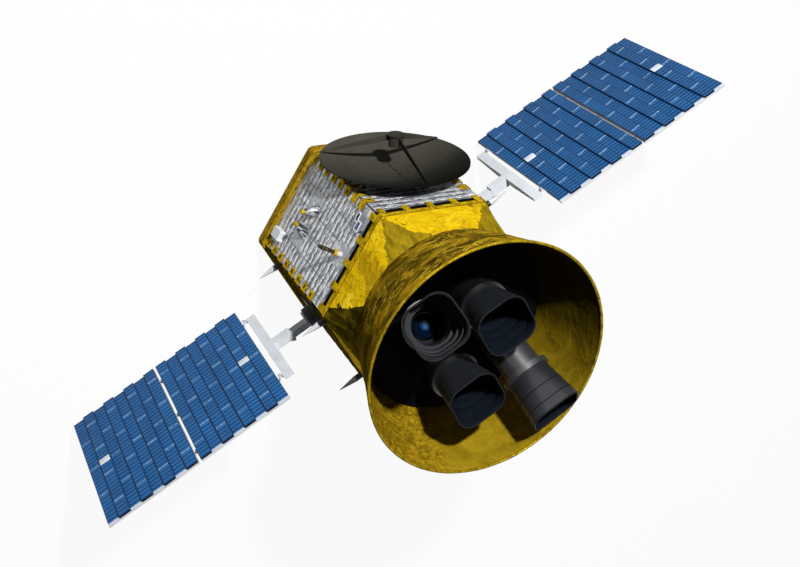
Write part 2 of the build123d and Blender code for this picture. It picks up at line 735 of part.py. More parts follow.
for side_name, side in (("left", -1), ("right", 1)):
    wing_face = 0 if side > 0 else 180
    drive_face = face_plane(wing_face, BUS_APOTHEM)

    # Fixed housing of the array drive.
    with BuildPart() as drive_housing:
        with BuildSketch(drive_face):
            with Locations((0, WING_AXIS)):
                RectangleRounded(DRIVE_PLATE[0], DRIVE_PLATE[1], 10)
        extrude(amount=DRIVE_PLATE[2])
        with BuildSketch(face_plane(wing_face, BUS_APOTHEM + DRIVE_PLATE[2])):
            with Locations((0, WING_AXIS)):
                Circle(DRIVE_R)
        extrude(amount=DRIVE_LENGTH)
        chamfer(drive_housing.edges().filter_by(GeomType.CIRCLE).sort_by(Axis.X)[-1 if side > 0 else 0], 4)
    drive_housing.part.label = side_name + "_drive_housing"
    export_step(drive_housing.part, "parts/" + side_name + "_drive_housing.step")

    # Turning arm, from the drive's output flange to the root fold line.
    flange_at = BUS_APOTHEM + DRIVE_PLATE[2] + DRIVE_LENGTH + RUN_GAP
    with BuildPart() as wing_arm:
        with BuildSketch(face_plane(wing_face, flange_at)):
            with Locations((0, WING_AXIS)):
                Circle(ARM_FLANGE_R)
        extrude(amount=ARM_FLANGE_THICK)
        with BuildSketch(wing_plane(WING_AXIS - ARM_WIDTH / 2)):
            with BuildLine():
                Polyline(
                    (side * (flange_at + ARM_FLANGE_THICK), ARM_FRONT),
                    (side * (FOLD_X - FOLD_GAP), ARM_FRONT),
                    (side * (FOLD_X - FOLD_GAP), ARM_BACK),
                    (side * (flange_at + ARM_FLANGE_THICK), ARM_BACK),
                    close=True,
                )
            make_face()
        extrude(amount=ARM_WIDTH)
        with BuildSketch(wing_plane(WING_AXIS - KNUCKLE)):
            with BuildLine():
                Polyline(
                    (side * (FOLD_X - FOLD_GAP), ARM_BACK),
                    (side * (FOLD_X - CHEEK_RUN), ARM_BACK),
                    (side * (FOLD_X - 3), FOLD_Y - FOLD_PIN_R + 0.7),
                    (side * FOLD_X, FOLD_Y),
                    close=True,
                )
            make_face()
            with Locations((side * FOLD_X, FOLD_Y)):
                Circle(FOLD_PIN_R)
        extrude(amount=2 * KNUCKLE)
    wing_arm.part.label = side_name + "_wing_arm"
    export_step(wing_arm.part, "parts/" + side_name + "_wing_arm.step")

    # Yoke: stem, tapering crossbar and its hinge knuckles.
    with BuildPart() as yoke:
        with BuildSketch(wing_plane(WING_AXIS - STEM_WIDTH / 2)):
            with BuildLine():
                Polyline(
                    (side * (FOLD_X + FOLD_GAP), STEM_FRONT),
                    (side * BAR_OUTER, STEM_FRONT),
                    (side * BAR_OUTER, BAR_BACK_MIDDLE),
                    (side * BAR_INNER, STEM_BACK),
                    (side * (FOLD_X + FOLD_GAP), STEM_BACK),
                    close=True,
                )
            make_face()
        extrude(amount=STEM_WIDTH)
        bar_plane = Plane(origin=(side * BAR_INNER, 0, WING_AXIS), x_dir=(0, side, 0), z_dir=(side, 0, 0))
        with BuildSketch(bar_plane):
            with BuildLine():
                Polyline(
                    (side * BAR_FRONT, -BAR_HALF),
                    (side * BAR_FRONT, BAR_HALF),
                    (side * BAR_BACK_END, BAR_HALF),
                    (side * BAR_BACK_MIDDLE, BAR_WEB_WIDTH / 2),
                    (side * BAR_BACK_MIDDLE, -BAR_WEB_WIDTH / 2),
                    (side * BAR_BACK_END, -BAR_HALF),
                    close=True,
                )
            make_face()
        extrude(amount=BAR_OUTER - BAR_INNER)
        for end in (-1, 1):
            cheek_width = STEM_WIDTH / 2 - KNUCKLE - KNUCKLE_GAP
            cheek_middle = WING_AXIS + end * (STEM_WIDTH - cheek_width) / 2
            with BuildSketch(wing_plane(cheek_middle - cheek_width / 2)):
                with BuildLine():
                    Polyline(
                        (side * (FOLD_X + FOLD_GAP), STEM_BACK),
                        (side * (FOLD_X + CHEEK_RUN), STEM_BACK),
                        (side * (FOLD_X + 3), FOLD_Y - FOLD_PIN_R + 0.7),
                        (side * FOLD_X, FOLD_Y),
                        close=True,
                    )
                make_face()
                with Locations((side * FOLD_X, FOLD_Y)):
                    Circle(FOLD_PIN_R)
            extrude(amount=cheek_width)
            with BuildSketch(wing_plane(WING_AXIS + end * HINGE_OFFSET - KNUCKLE)):
                with BuildLine():
                    Polyline(
                        (side * BAR_OUTER, BAR_BACK_END + 2),
                        (side * BAR_OUTER, BAR_FRONT),
                        (side * (INNER_AXIS_X - 1), INNER_AXIS_Y + HINGE_R - 0.2),
                        (side * (INNER_AXIS_X + 2), INNER_AXIS_Y - HINGE_R + 0.6),
                        close=True,
                    )
                make_face()
                with Locations((side * INNER_AXIS_X, INNER_AXIS_Y)):
                    Circle(HINGE_R)
            extrude(amount=KNUCKLE - KNUCKLE_GAP / 2)
    yoke.part.label = side_name + "_yoke"
    export_step(yoke.part, "parts/" + side_name + "_yoke.step")

    # Inner panel board with the knuckles of both of its hinge lines.
    with BuildPart() as inner_board:
        with BuildSketch(wing_plane(WING_AXIS - WING_HALF)):
            with BuildLine():
                Polyline(
                    (side * PANEL_IN, SUBSTRATE_BACK),
                    (side * (PANEL_IN + PANEL_SPAN), SUBSTRATE_BACK),
                    (side * (PANEL_IN + PANEL_SPAN), SUBSTRATE_FRONT),
                    (side * PANEL_IN, SUBSTRATE_FRONT),
                    close=True,
                )
            make_face()
        extrude(amount=2 * WING_HALF)
        for end in (-1, 1):
            with BuildSketch(wing_plane(WING_AXIS + end * HINGE_OFFSET + KNUCKLE_GAP / 2)):
                with BuildLine():
                    Polyline(
                        (side * PANEL_IN, SUBSTRATE_BACK + 2),
                        (side * PANEL_IN, SUBSTRATE_FRONT),
                        (side * (INNER_AXIS_X + 1), INNER_AXIS_Y + HINGE_R - 0.2),
                        (side * (INNER_AXIS_X - 2), INNER_AXIS_Y - HINGE_R + 0.6),
                        close=True,
                    )
                make_face()
                with Locations((side * INNER_AXIS_X, INNER_AXIS_Y)):
                    Circle(HINGE_R)
            extrude(amount=KNUCKLE - KNUCKLE_GAP / 2)
        for hinge_height in OUTER_HINGE_HEIGHTS:
            with BuildSketch(wing_plane(WING_AXIS + hinge_height - KNUCKLE)):
                with BuildLine():
                    Polyline(
                        (side * (PANEL_IN + PANEL_SPAN - LEAF_REACH), SUBSTRATE_BACK),
                        (side * (PANEL_IN + PANEL_SPAN), SUBSTRATE_BACK),
                        (side * (OUTER_AXIS_X + 2), OUTER_AXIS_Y + HINGE_R - 0.6),
                        (side * OUTER_AXIS_X, OUTER_AXIS_Y),
                        (side * (PANEL_IN + PANEL_SPAN - LEAF_REACH), SUBSTRATE_BACK - LEAF_THICK),
                        close=True,
                    )
                make_face()
                with Locations((side * OUTER_AXIS_X, OUTER_AXIS_Y)):
                    Circle(HINGE_R - 0.5)
            extrude(amount=KNUCKLE - KNUCKLE_GAP / 2)
    inner_board.part.label = side_name + "_inner_board"
    export_step(inner_board.part, "parts/" + side_name + "_inner_board.step")

    with BuildPart() as outer_board:
        with BuildSketch(wing_plane(WING_AXIS - WING_HALF)):
            with BuildLine():
                Polyline(
                    (side * SECOND_PANEL_IN, SUBSTRATE_BACK),
                    (side * (SECOND_PANEL_IN + PANEL_SPAN), SUBSTRATE_BACK),
                    (side * (SECOND_PANEL_IN + PANEL_SPAN), SUBSTRATE_FRONT),
                    (side * SECOND_PANEL_IN, SUBSTRATE_FRONT),
                    close=True,
                )
            make_face()
        extrude(amount=2 * WING_HALF)
        for hinge_height in OUTER_HINGE_HEIGHTS:
            with BuildSketch(wing_plane(WING_AXIS + hinge_height + KNUCKLE_GAP / 2)):
                with BuildLine():
                    Polyline(
                        (side * (SECOND_PANEL_IN + LEAF_REACH), SUBSTRATE_BACK),
                        (side * SECOND_PANEL_IN, SUBSTRATE_BACK),
                        (side * (OUTER_AXIS_X - 2), OUTER_AXIS_Y + HINGE_R - 0.6),
                        (side * OUTER_AXIS_X, OUTER_AXIS_Y),
                        (side * (SECOND_PANEL_IN + LEAF_REACH), SUBSTRATE_BACK - LEAF_THICK),
                        close=True,
                    )
                make_face()
                with Locations((side * OUTER_AXIS_X, OUTER_AXIS_Y)):
                    Circle(HINGE_R - 0.5)
            extrude(amount=KNUCKLE - KNUCKLE_GAP / 2)
    outer_board.part.label = side_name + "_outer_board"
    export_step(outer_board.part, "parts/" + side_name + "_outer_board.step")

    # Cell strips: every second one stands proud; the strips next to the gap are proud ones.
    for panel_name, panel_start, first_proud in (
        ("inner", PANEL_IN, 1),
        ("outer", SECOND_PANEL_IN, 0),
    ):
        with BuildPart() as cell_strips:
            for strip in range(STRIPS):
                proud = strip % 2 == first_proud
                strip_front = RAISED_FRONT if proud else LOW_FRONT
                strip_margin = 0.0 if proud else WHITE_MARGIN
                strip_middle = side * (panel_start + (strip + 0.5) * STRIP_PITCH)
                with BuildSketch(wing_plane(WING_AXIS - WING_HALF)):
                    with Locations((strip_middle, (SUBSTRATE_FRONT + strip_front) / 2)):
                        Rectangle(STRIP_PITCH - STRIP_GAP, strip_front - SUBSTRATE_FRONT)
                extrude(amount=2 * WING_HALF - strip_margin)
        cell_strips.part.label = side_name + "_" + panel_name + "_cells"
        export_step(cell_strips.part, "parts/" + side_name + "_" + panel_name + "_cells.step")
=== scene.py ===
import math

import bmesh
import bpy
from mathutils import Matrix, Vector


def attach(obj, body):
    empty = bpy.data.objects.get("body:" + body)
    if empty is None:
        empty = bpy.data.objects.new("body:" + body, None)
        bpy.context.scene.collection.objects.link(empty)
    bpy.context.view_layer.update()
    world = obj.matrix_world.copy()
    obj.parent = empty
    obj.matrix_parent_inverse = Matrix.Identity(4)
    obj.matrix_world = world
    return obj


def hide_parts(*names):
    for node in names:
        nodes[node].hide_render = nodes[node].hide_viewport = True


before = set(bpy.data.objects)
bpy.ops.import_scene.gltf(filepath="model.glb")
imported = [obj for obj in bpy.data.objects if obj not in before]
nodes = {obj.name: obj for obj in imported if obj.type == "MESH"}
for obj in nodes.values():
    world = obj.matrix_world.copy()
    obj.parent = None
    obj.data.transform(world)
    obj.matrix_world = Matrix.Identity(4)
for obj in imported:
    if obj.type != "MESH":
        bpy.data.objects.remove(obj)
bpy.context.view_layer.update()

# ---- Studio: a pale floor that the satellite stands on, one lamp high on the side that the
# ---- solar cells face, a weak fill over the left wing, and the camera above the sunshade.
CAMERA_PLACE = (-0.6484, 3.3801, 5.258)
CAMERA_RIGHT = (0.80913, -0.41625, 0.41479)
CAMERA_BACK = (-0.10473, 0.59241, 0.7988)
CAMERA_LENS = 51.29               # millimetres, on a sensor 36 wide
FLOOR_RADIUS = 14.0
FLOOR_DROP = -0.001
FLOOR_LIT = (0.24, 0.245, 0.25)   # the tone that throws light back
FLOOR_SEEN = (0.84, 0.84, 0.84)   # the tone that the camera and mirrors see
FLOOR_WHITE = 0.94                # share of plain white in what they see
SKY_COLOUR = (0.93, 0.96, 1.0)
SKY_STRENGTH = 0.065
LAMP_AIM = (0.0, 0.0, 0.8)
LAMPS = (
    # name, place, size, watts
    ("key_lamp", (2.6, 5.4, 6.6), 0.42, 945.0),
    ("fill_lamp", (-4.5, 1.0, 5.0), 3.0, 5.0),
)

scene = bpy.context.scene
scene.view_settings.view_transform = "Standard"

camera_data = bpy.data.cameras.new("camera")
camera_data.sensor_width = 36.0
camera_data.lens = CAMERA_LENS
camera_data.clip_end = 60.0
camera = bpy.data.objects.new("camera", camera_data)
scene.collection.objects.link(camera)
camera_back = Vector(CAMERA_BACK).normalized()
camera_up = camera_back.cross(Vector(CAMERA_RIGHT).normalized()).normalized()
camera_turn = Matrix((camera_up.cross(camera_back), camera_up, camera_back)).transposed().to_4x4()
camera.matrix_world = Matrix.Translation(CAMERA_PLACE) @ camera_turn
scene.camera = camera


def shader_start(name):
    """A new material, its node tree and its Principled shader."""
    material = bpy.data.materials.new(name)
    material.use_nodes = True
    tree = material.node_tree
    return material, tree, tree.nodes["Principled BSDF"]


def feed(socket, value):
    """Leads another socket into this one, or sets it to a number, a vector or a colour."""
    if isinstance(value, bpy.types.NodeSocket):
        value.id_data.links.new(value, socket)
    elif socket.type == "RGBA":
        socket.default_value = (*value, 1.0)
    else:
        socket.default_value = value


def add_node(tree, kind, inputs, **settings):
    """A new node with these settings, fed with a value or a socket at each input given."""
    node = tree.nodes.new(kind)
    for setting, value in settings.items():
        setattr(node, setting, value)
    for place, value in inputs.items():
        feed(node.inputs[place], value)
    return node


def tree_of(*values):
    """The node tree of the first socket among some values."""
    return next(value.id_data for value in values if isinstance(value, bpy.types.NodeSocket))


def combine(operation, first, second=0.0, third=0.0):
    """One Math node; each side is a socket or a number."""
    sides = {0: first, 1: second, 2: third}
    return add_node(tree_of(*sides.values()), "ShaderNodeMath", sides, operation=operation).outputs[0]


def blend(share, first, second, mode="MIX"):
    """Mixes two colours; each is a socket or a colour, and share a socket or a number."""
    inputs = {0: share, 6: first, 7: second}
    tree = tree_of(*inputs.values())
    return add_node(tree, "ShaderNodeMix", inputs, data_type="RGBA", blend_type=mode).outputs[2]


def surface(shader, colour, roughness, gloss=0.5, metallic=0.0):
    """Says what a shader's colour is and how rough, glossy and metallic it is."""
    feed(shader.inputs["Base Color"], colour)
    feed(shader.inputs["Roughness"], roughness)
    feed(shader.inputs["Specular IOR Level"], gloss)
    feed(shader.inputs["Metallic"], metallic)


def seen_rays(tree):
    """1 for camera, glossy and transmission rays, which see the pale background, or else 0."""
    path = tree.nodes.new("ShaderNodeLightPath").outputs
    seen = combine("MAXIMUM", path["Is Camera Ray"], path["Is Glossy Ray"])
    return combine("MAXIMUM", seen, path["Is Transmission Ray"])


def white_to_camera(tree, lit, white_share, target, white_kind):
    """Mixes white into what the camera, glossy and transmission rays see of floor or sky."""
    white = add_node(tree, white_kind, {"Color": (1.0, 1.0, 1.0), "Strength": 1.0})
    share = combine("MULTIPLY", seen_rays(tree), white_share)
    mix = add_node(tree, "ShaderNodeMixShader", {0: share, 1: lit, 2: white.outputs[0]})
    feed(target.inputs["Surface"], mix.outputs[0])


bpy.ops.object.select_all(action="DESELECT")
bpy.ops.mesh.primitive_circle_add(
    vertices=96, radius=FLOOR_RADIUS, fill_type="NGON", location=(0.0, 0.0, FLOOR_DROP)
)
floor = bpy.context.active_object
floor.name = "floor"
floor_paint, tree, shader = shader_start("floor_paint")
surface(shader, blend(seen_rays(tree), FLOOR_LIT, FLOOR_SEEN), 0.9, 0.1)
white_to_camera(tree, shader.outputs[0], FLOOR_WHITE, tree.nodes["Material Output"], "ShaderNodeEmission")
floor.data.materials.append(floor_paint)

world = bpy.data.worlds.new("studio")
world.use_nodes = True
scene.world = world
tree = world.node_tree
sky = tree.nodes["Background"]
feed(sky.inputs["Color"], SKY_COLOUR)
feed(sky.inputs["Strength"], SKY_STRENGTH)
white_to_camera(tree, sky.outputs[0], 1.0, tree.nodes["World Output"], "ShaderNodeBackground")

for lamp_name, lamp_place, lamp_size, lamp_watts in LAMPS:
    lamp_data = bpy.data.lights.new(lamp_name, "AREA")
    lamp_data.shape = "DISK"
    lamp_data.size = lamp_size
    lamp_data.energy = lamp_watts
    lamp = bpy.data.objects.new(lamp_name, lamp_data)
    lamp.location = lamp_place
    lamp_back = Vector(lamp_place) - Vector(LAMP_AIM)
    lamp.rotation_euler = lamp_back.to_track_quat("Z", "Y").to_euler()
    scene.collection.objects.link(lamp)


# ---- Adapter ring: a machined aluminium ring under the rear deck. Its lower flange is bolted to
# ---- the rocket, and here the satellite stands on it.
def object_point(tree, turn=0.0, scale=(1.0, 1.0, 1.0)):
    """Object coordinates in metres, scaled and then turned about Z by degrees."""
    place = tree.nodes.new("ShaderNodeTexCoord").outputs["Object"]
    inputs = {"Vector": place, "Rotation": (0.0, 0.0, math.radians(turn)), "Scale": scale}
    return add_node(tree, "ShaderNodeMapping", inputs, vector_type="POINT").outputs["Vector"]


def noise(point, scale, detail=4.0, roughness=0.55, distortion=0.0):
    """A cloud pattern from 0 to 1, with so many waves a metre."""
    inputs = {
        "Vector": point, "Scale": scale, "Detail": detail, "Roughness": roughness, "Distortion": distortion
    }
    return add_node(point.id_data, "ShaderNodeTexNoise", inputs).outputs["Fac"]


def ramp(value, *stops):
    """Turns a value into a colour or a level by stops of (position, colour or level)."""
    node = add_node(value.id_data, "ShaderNodeValToRGB", {"Fac": value})
    while len(node.color_ramp.elements) < len(stops):
        node.color_ramp.elements.new(0.5)
    for element, (position, level) in zip(node.color_ramp.elements, stops):
        element.position = position
        element.color = (*level, 1.0) if isinstance(level, tuple) else (level, level, level, 1.0)
    return node.outputs["Color"]


def relief(shader, height, depth, strength=1.0):
    """Bump of so many metres from a height pattern of 0 to 1."""
    inputs = {"Height": height, "Distance": depth, "Strength": strength}
    bump = add_node(height.id_data, "ShaderNodeBump", inputs)
    feed(shader.inputs["Normal"], bump.outputs["Normal"])


def satin_finish(name, colour, roughness, metallic, gloss=0.5, grain=260.0, grain_depth=0.0002):
    """Machined, painted or moulded skin with a fine even grain and slight tone changes."""
    material, tree, shader = shader_start(name)
    point = object_point(tree)
    fine = noise(point, grain, 2.0)
    dark = tuple(0.8 * channel for channel in colour)
    clouded = ramp(noise(point, 9.0, 4.0), (0.35, dark), (0.65, colour))
    grained = combine("MULTIPLY_ADD", fine, 0.16, roughness - 0.08)
    surface(shader, clouded, grained, gloss, metallic)
    relief(shader, fine, grain_depth, 0.3)
    return material


def dress(material, slot_name, *node_names):
    """Gives CAD nodes their finish; the slot name is not used."""
    for node_name in node_names:
        node = nodes[node_name]
        node.data.materials.clear()
        node.data.materials.append(material)


dress(satin_finish("ring_metal", (0.62, 0.63, 0.65), 0.38, 0.9), "ring_metal", "adapter_ring")


# ---- Rear deck: a six-sided honeycomb deck wrapped in gold film, with rows of vent holes
# ---- punched through the film along its edge.
DECK_TONES = ((0.17, 0.102, 0.006), (0.29, 0.175, 0.009), (0.38, 0.24, 0.012))
DECK_CREASE = (0.56, 0.37, 0.03)
DECK_SCUFF = (0.030, 0.020, 0.002)
DECK_SIDE = 0.4948                # from the bus's axis to the film's face
VENT_RADIUS = 0.0032
VENT_DEPTH = 0.0006
VENT_SPACING = 0.047
VENT_REACH = 0.26                 # furthest vent from the middle of a side
VENT_ROWS = ((0.060, 0.0), (0.087, 0.5))    # height, and shift as a share of the spacing
GOLD_TINT = (1.0, 0.74, 0.12)
FILM_WARP = 1.6                   # how far folds wander, as a share of a patch


def from_half(value):
    """How far a value from 0 to 1 is from a half."""
    return combine("ABSOLUTE", combine("SUBTRACT", value, 0.5))


def crumpled(point, scale):
    """Patterns of crumpled film: wandering patches, sharp creases and flat facets, each 0 to 1."""
    tree = point.id_data
    warp = add_node(tree, "ShaderNodeTexNoise", {"Vector": point, "Scale": scale * 0.8, "Detail": 3.0})
    shift = {0: warp.outputs["Color"], 1: (FILM_WARP / scale,) * 3, 2: point}
    bent = add_node(tree, "ShaderNodeVectorMath", shift, operation="MULTIPLY_ADD").outputs[0]
    patches = noise(bent, scale * 0.55, 5.0, 0.6, 1.2)
    flakes = {"Vector": bent, "Scale": scale * 1.3}
    edges = add_node(tree, "ShaderNodeTexVoronoi", flakes, feature="DISTANCE_TO_EDGE")
    facets = add_node(tree, "ShaderNodeTexVoronoi", flakes)
    flat = add_node(tree, "ShaderNodeSeparateColor", {0: facets.outputs["Color"]})
    fold = ramp(from_half(noise(bent, scale * 1.1, 2.0)), (0.0, 1.0), (0.012, 0.5), (0.035, 0.0))
    crease = combine("MAXIMUM", ramp(edges.outputs["Distance"], (0.0, 0.8), (0.05, 0.0)), fold)
    return patches, crease, flat.outputs[0]


def gold_film(
    name, tones, crease_light_tone, scale, depth, creases=0.5, roughness=0.38, metal=0.2, stretch=(1.0, 1.0, 1.0)
):
    """Crumpled gold film: tones run from dark to bright patches, with painted reflections on its facets and
    painted light along its creases.
    """
    material, tree, shader = shader_start(name)
    point = object_point(tree, scale=stretch)
    patches, crease, facet = crumpled(point, scale)
    # Painted reflection: each flat facet adds a tone of its own, as if it caught its own reflection.
    tone = combine("MULTIPLY_ADD", facet, 0.16, combine("MULTIPLY", patches, 0.84))
    last = len(tones) - 1
    colour = ramp(tone, *((0.36 + 0.24 * step / last, level) for step, level in enumerate(tones)))
    # Painted light along the creases: a painted glint where the crease tone is brighter than the film,
    # painted shade where it is darker.
    mottled = ramp(noise(point, scale * 0.5, 2.0), (0.42, 0.0), (0.62, creases))
    colour = blend(combine("MULTIPLY", crease, mottled), colour, crease_light_tone)
    surface(shader, colour, roughness, 0.0, metal)
    feed(shader.inputs["Specular Tint"], GOLD_TINT)
    height = combine("MULTIPLY_ADD", crease, 0.14, combine("MULTIPLY", facet, 0.16))
    relief(shader, combine("MULTIPLY_ADD", patches, 2.4, height), depth)
    return material, tree, shader, colour


def settle(name, scale=(1.0, 1.0, 1.0)):
    """Names the object just added and puts its scale and place into its mesh."""
    piece = bpy.context.active_object
    piece.name = name
    piece.scale = scale
    bpy.ops.object.transform_apply(location=True, rotation=True, scale=True)
    return piece


def close_mesh():
    """Turns all the faces of the mesh in hand outward and leaves edit mode."""
    bpy.ops.mesh.select_all(action="SELECT")
    bpy.ops.mesh.normals_make_consistent(inside=False)
    bpy.ops.object.mode_set(mode="OBJECT")


def turned(name, rows, sides):
    """A solid turned about Z: a disc is drawn out through rows of (radius, height)."""
    bpy.ops.object.select_all(action="DESELECT")
    bpy.ops.mesh.primitive_circle_add(
        vertices=sides, radius=rows[0][0], fill_type="NGON", location=(0.0, 0.0, rows[0][1])
    )
    piece = settle(name)
    bpy.ops.object.mode_set(mode="EDIT")
    bpy.ops.mesh.select_all(action="SELECT")
    for (radius, height), (next_radius, next_height) in zip(rows, rows[1:]):
        rise = (0.0, 0.0, next_height - height)
        bpy.ops.mesh.extrude_region_move(TRANSFORM_OT_translate={"value": rise})
        grow = next_radius / radius
        bpy.ops.transform.resize(value=(grow, grow, 1.0), center_override=(0.0, 0.0, next_height))
    close_mesh()
    return piece


def copy_to(piece, name, matrix):
    """A copy of a piece with its own mesh, moved by a matrix that goes into its vertices."""
    twin = piece.copy()
    twin.data = piece.data.copy()
    twin.name = name
    scene.collection.objects.link(twin)
    twin.data.transform(matrix @ piece.matrix_world)
    twin.matrix_world = Matrix.Identity(4)
    return twin


def join_all(parts, name):
    """Joins copies of like parts into one piece."""
    bpy.ops.object.select_all(action="DESELECT")
    for part in parts:
        part.select_set(True)
    bpy.context.view_layer.objects.active = parts[0]
    bpy.ops.object.join()
    return settle(name)


def fit_piece(piece, material, slot_name, body, *replaced):
    """Gives a finished piece its finish and fixes it to its body; the slot name is not used."""
    piece.data.materials.clear()
    piece.data.materials.append(material)
    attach(piece, body)
    if replaced:
        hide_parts(*replaced)


def around_axis(angle, out, side, height):
    """Matrix to a place on the bus: local X goes along the face, Y up and Z out of it."""
    turn = math.radians(angle)
    outward = Vector((math.cos(turn), math.sin(turn), 0.0))
    along = Vector((-math.sin(turn), math.cos(turn), 0.0))
    upward = Vector((0.0, 0.0, 1.0))
    columns = Matrix((along, upward, outward)).transposed().to_4x4()
    return Matrix.Translation(out * outward + side * along + height * upward) @ columns


deck_film, tree, shader, colour = gold_film(
    "deck_film", DECK_TONES, DECK_CREASE, 20.0, 0.0035, creases=0.6, roughness=0.36, metal=0.06
)
scuffs = ramp(noise(object_point(tree), 75.0, 3.0, 0.6), (0.60, 0.0), (0.645, 0.9))
feed(shader.inputs["Base Color"], blend(scuffs, colour, DECK_SCUFF))
dress(deck_film, "gold_foil", "rear_deck")
vent_black = satin_finish("vent_black", (0.010, 0.008, 0.005), 0.8, 0.0, 0.05)
vent = turned("vent", ((VENT_RADIUS, 0.0), (VENT_RADIUS, VENT_DEPTH)), 10)
vents = []
for face in range(0, 360, 60):
    for column in range(-5, 6):
        for height, shift in VENT_ROWS:
            side = VENT_SPACING * (column + shift)
            if abs(side) < VENT_REACH:
                vents.append(copy_to(vent, "vent_copy", around_axis(face, DECK_SIDE, side, height)))
bpy.data.objects.remove(vent)
fit_piece(join_all(vents, "deck_vents"), vent_black, "black_cavity", "bus")

# ---- Bus core: the closed equipment bay behind the side panels, in plain black. It shows only in
# ---- the narrow joints between them, where its black also stands for their shade, as painted shade.
core_black = satin_finish("core_black", (0.0025, 0.0025, 0.003), 0.75, 0.0, 0.03)
dress(core_black, "black_cavity", "bus_core")


# ---- Silver side panels: honeycomb panels under a pleated silver blanket. Each pleat laps over
# ---- the next one down, and tape seams run up the blanket across the pleats.
SILVER_FACES = (60, 120, 240, 300)
PLEAT = 0.04365
PLEAT_FOOT = 0.1152
PLEAT_ROWS = 70                   # four rows of the mesh to a pleat
PLEAT_COLUMNS = 48
PLEAT_LIFT = (0.0003, 0.0010, 0.0016, 0.0019)
LAP_HEIGHT = PLEAT_FOOT + 0.007   # where the lowest pleat's lap shows
BLANKET_WIDTH = 0.530
BLANKET_HEIGHT = PLEAT_ROWS * PLEAT / 4
BLANKET_OUT = 0.4731
BLANKET_CRUMPLE = 0.0011
CRUMPLE_SIZE = 0.03
FILM_THICK = 0.0006
GAP_SHADE_HEIGHT = 0.872
SEAMS = (0.228, 0.152, 0.053, -0.044, -0.144, -0.220)
SEAM_HALF = 0.0016                # half width of a seam's line
SILVER_TONES = ((0.37, (0.115, 0.125, 0.145)), (0.46, (0.37, 0.39, 0.42)), (0.57, (0.90, 0.92, 0.95)))
DECK_REFLECTION_TONES = ((0.42, (0.030, 0.026, 0.016)), (0.47, (0.40, 0.27, 0.03)), (0.53, (0.72, 0.74, 0.77)))
PANEL_TONES = ((0.40, (0.44, 0.46, 0.49)), (0.60, (0.56, 0.58, 0.61)))
GAP_SHADE_BLACK = (0.003, 0.003, 0.004)
CREASE_SHADE_GREY = (0.030, 0.034, 0.040)
SEAM_GREY = (0.045, 0.048, 0.055)
SPECK_GOLD = (0.42, 0.30, 0.05)


def split_axes(point):
    """The X, Y and Z sockets of a point."""
    return add_node(point.id_data, "ShaderNodeSeparateXYZ", {0: point}).outputs


def drawn_noise(tree, waves, *settings, turn=0.0):
    """A cloud pattern with so many waves a metre along X, along Y and along Z."""
    return noise(object_point(tree, turn, waves), 1.0, *settings)


def silver_blanket(name, turn):
    """Silver film with painted shade at its creases and pleats, tape seams and gold specks; painted
    reflection at its foot, painted shadow at its top.
    """
    material, tree, shader = shader_start(name)
    point = object_point(tree, turn)
    across, _, up = split_axes(point)
    wander = drawn_noise(tree, (16.0, 16.0, 6.0), 3.0, turn=turn)
    height = combine("SUBTRACT", combine("MULTIPLY_ADD", wander, 0.014, up), LAP_HEIGHT)
    lap = combine("FRACT", combine("MULTIPLY", height, 1.0 / PLEAT))
    from_lap = combine("SUBTRACT", 0.5, from_half(lap))
    dashes = drawn_noise(tree, (27.0, 27.0, 21.0), 3.0, 0.7, turn=turn)
    # Painted shade in the creases where one pleat laps over the next, and in short nicks.
    crease = ramp(combine("MULTIPLY_ADD", from_lap, -1.7, dashes), (0.36, 0.0), (0.40, 1.0))
    nicks = drawn_noise(tree, (34.0, 34.0, 170.0), 2.0, 0.6, turn=turn)
    crease = combine("MAXIMUM", crease, ramp(nicks, (0.57, 0.0), (0.61, 0.90)))
    wrinkle = drawn_noise(tree, (27.0, 27.0, 85.0), 5.0, 0.62, 0.4, turn=turn)
    # Painted shade: each pleat is lighter toward its top and darker toward the lap below it.
    tone = combine("MULTIPLY_ADD", lap, 0.22, combine("MULTIPLY", wrinkle, 0.78))
    colour = blend(combine("MULTIPLY", crease, 0.92), ramp(tone, *SILVER_TONES), CREASE_SHADE_GREY)
    for seam in SEAMS:
        gap = combine("ABSOLUTE", combine("ADD", across, seam))
        line = combine("MULTIPLY", ramp(gap, (SEAM_HALF, 1.0), (SEAM_HALF + 0.001, 0.0)), 0.88)
        colour = blend(line, colour, SEAM_GREY)
    # Painted reflection: streaks of gold and dark near the blanket's foot, as if it mirrored the gold deck
    # below.
    foot = ramp(combine("MULTIPLY_ADD", dashes, 0.06, up), (0.170, 1.0), (0.225, 0.0))
    streaks = drawn_noise(tree, (11.0, 11.0, 130.0), 3.0, 0.6, 0.3, turn=turn)
    colour = blend(combine("MULTIPLY", foot, 0.8), colour, ramp(streaks, *DECK_REFLECTION_TONES))
    speck = ramp(noise(point, 62.0, 2.0, 0.5), (0.64, 0.0), (0.68, 1.0))
    zone = ramp(noise(point, 5.0, 1.0), (0.48, 0.0), (0.60, 1.0))
    colour = blend(combine("MULTIPLY", speck, zone), colour, SPECK_GOLD)
    # Painted shadow: the blanket's top is painted black, widening the shade of the gap under the skirt.
    colour = blend(combine("GREATER_THAN", up, GAP_SHADE_HEIGHT), colour, GAP_SHADE_BLACK)
    surface(shader, colour, 0.36, metallic=0.25)
    relief(shader, combine("MULTIPLY_ADD", crease, -0.6, wrinkle), 0.005)
    return material


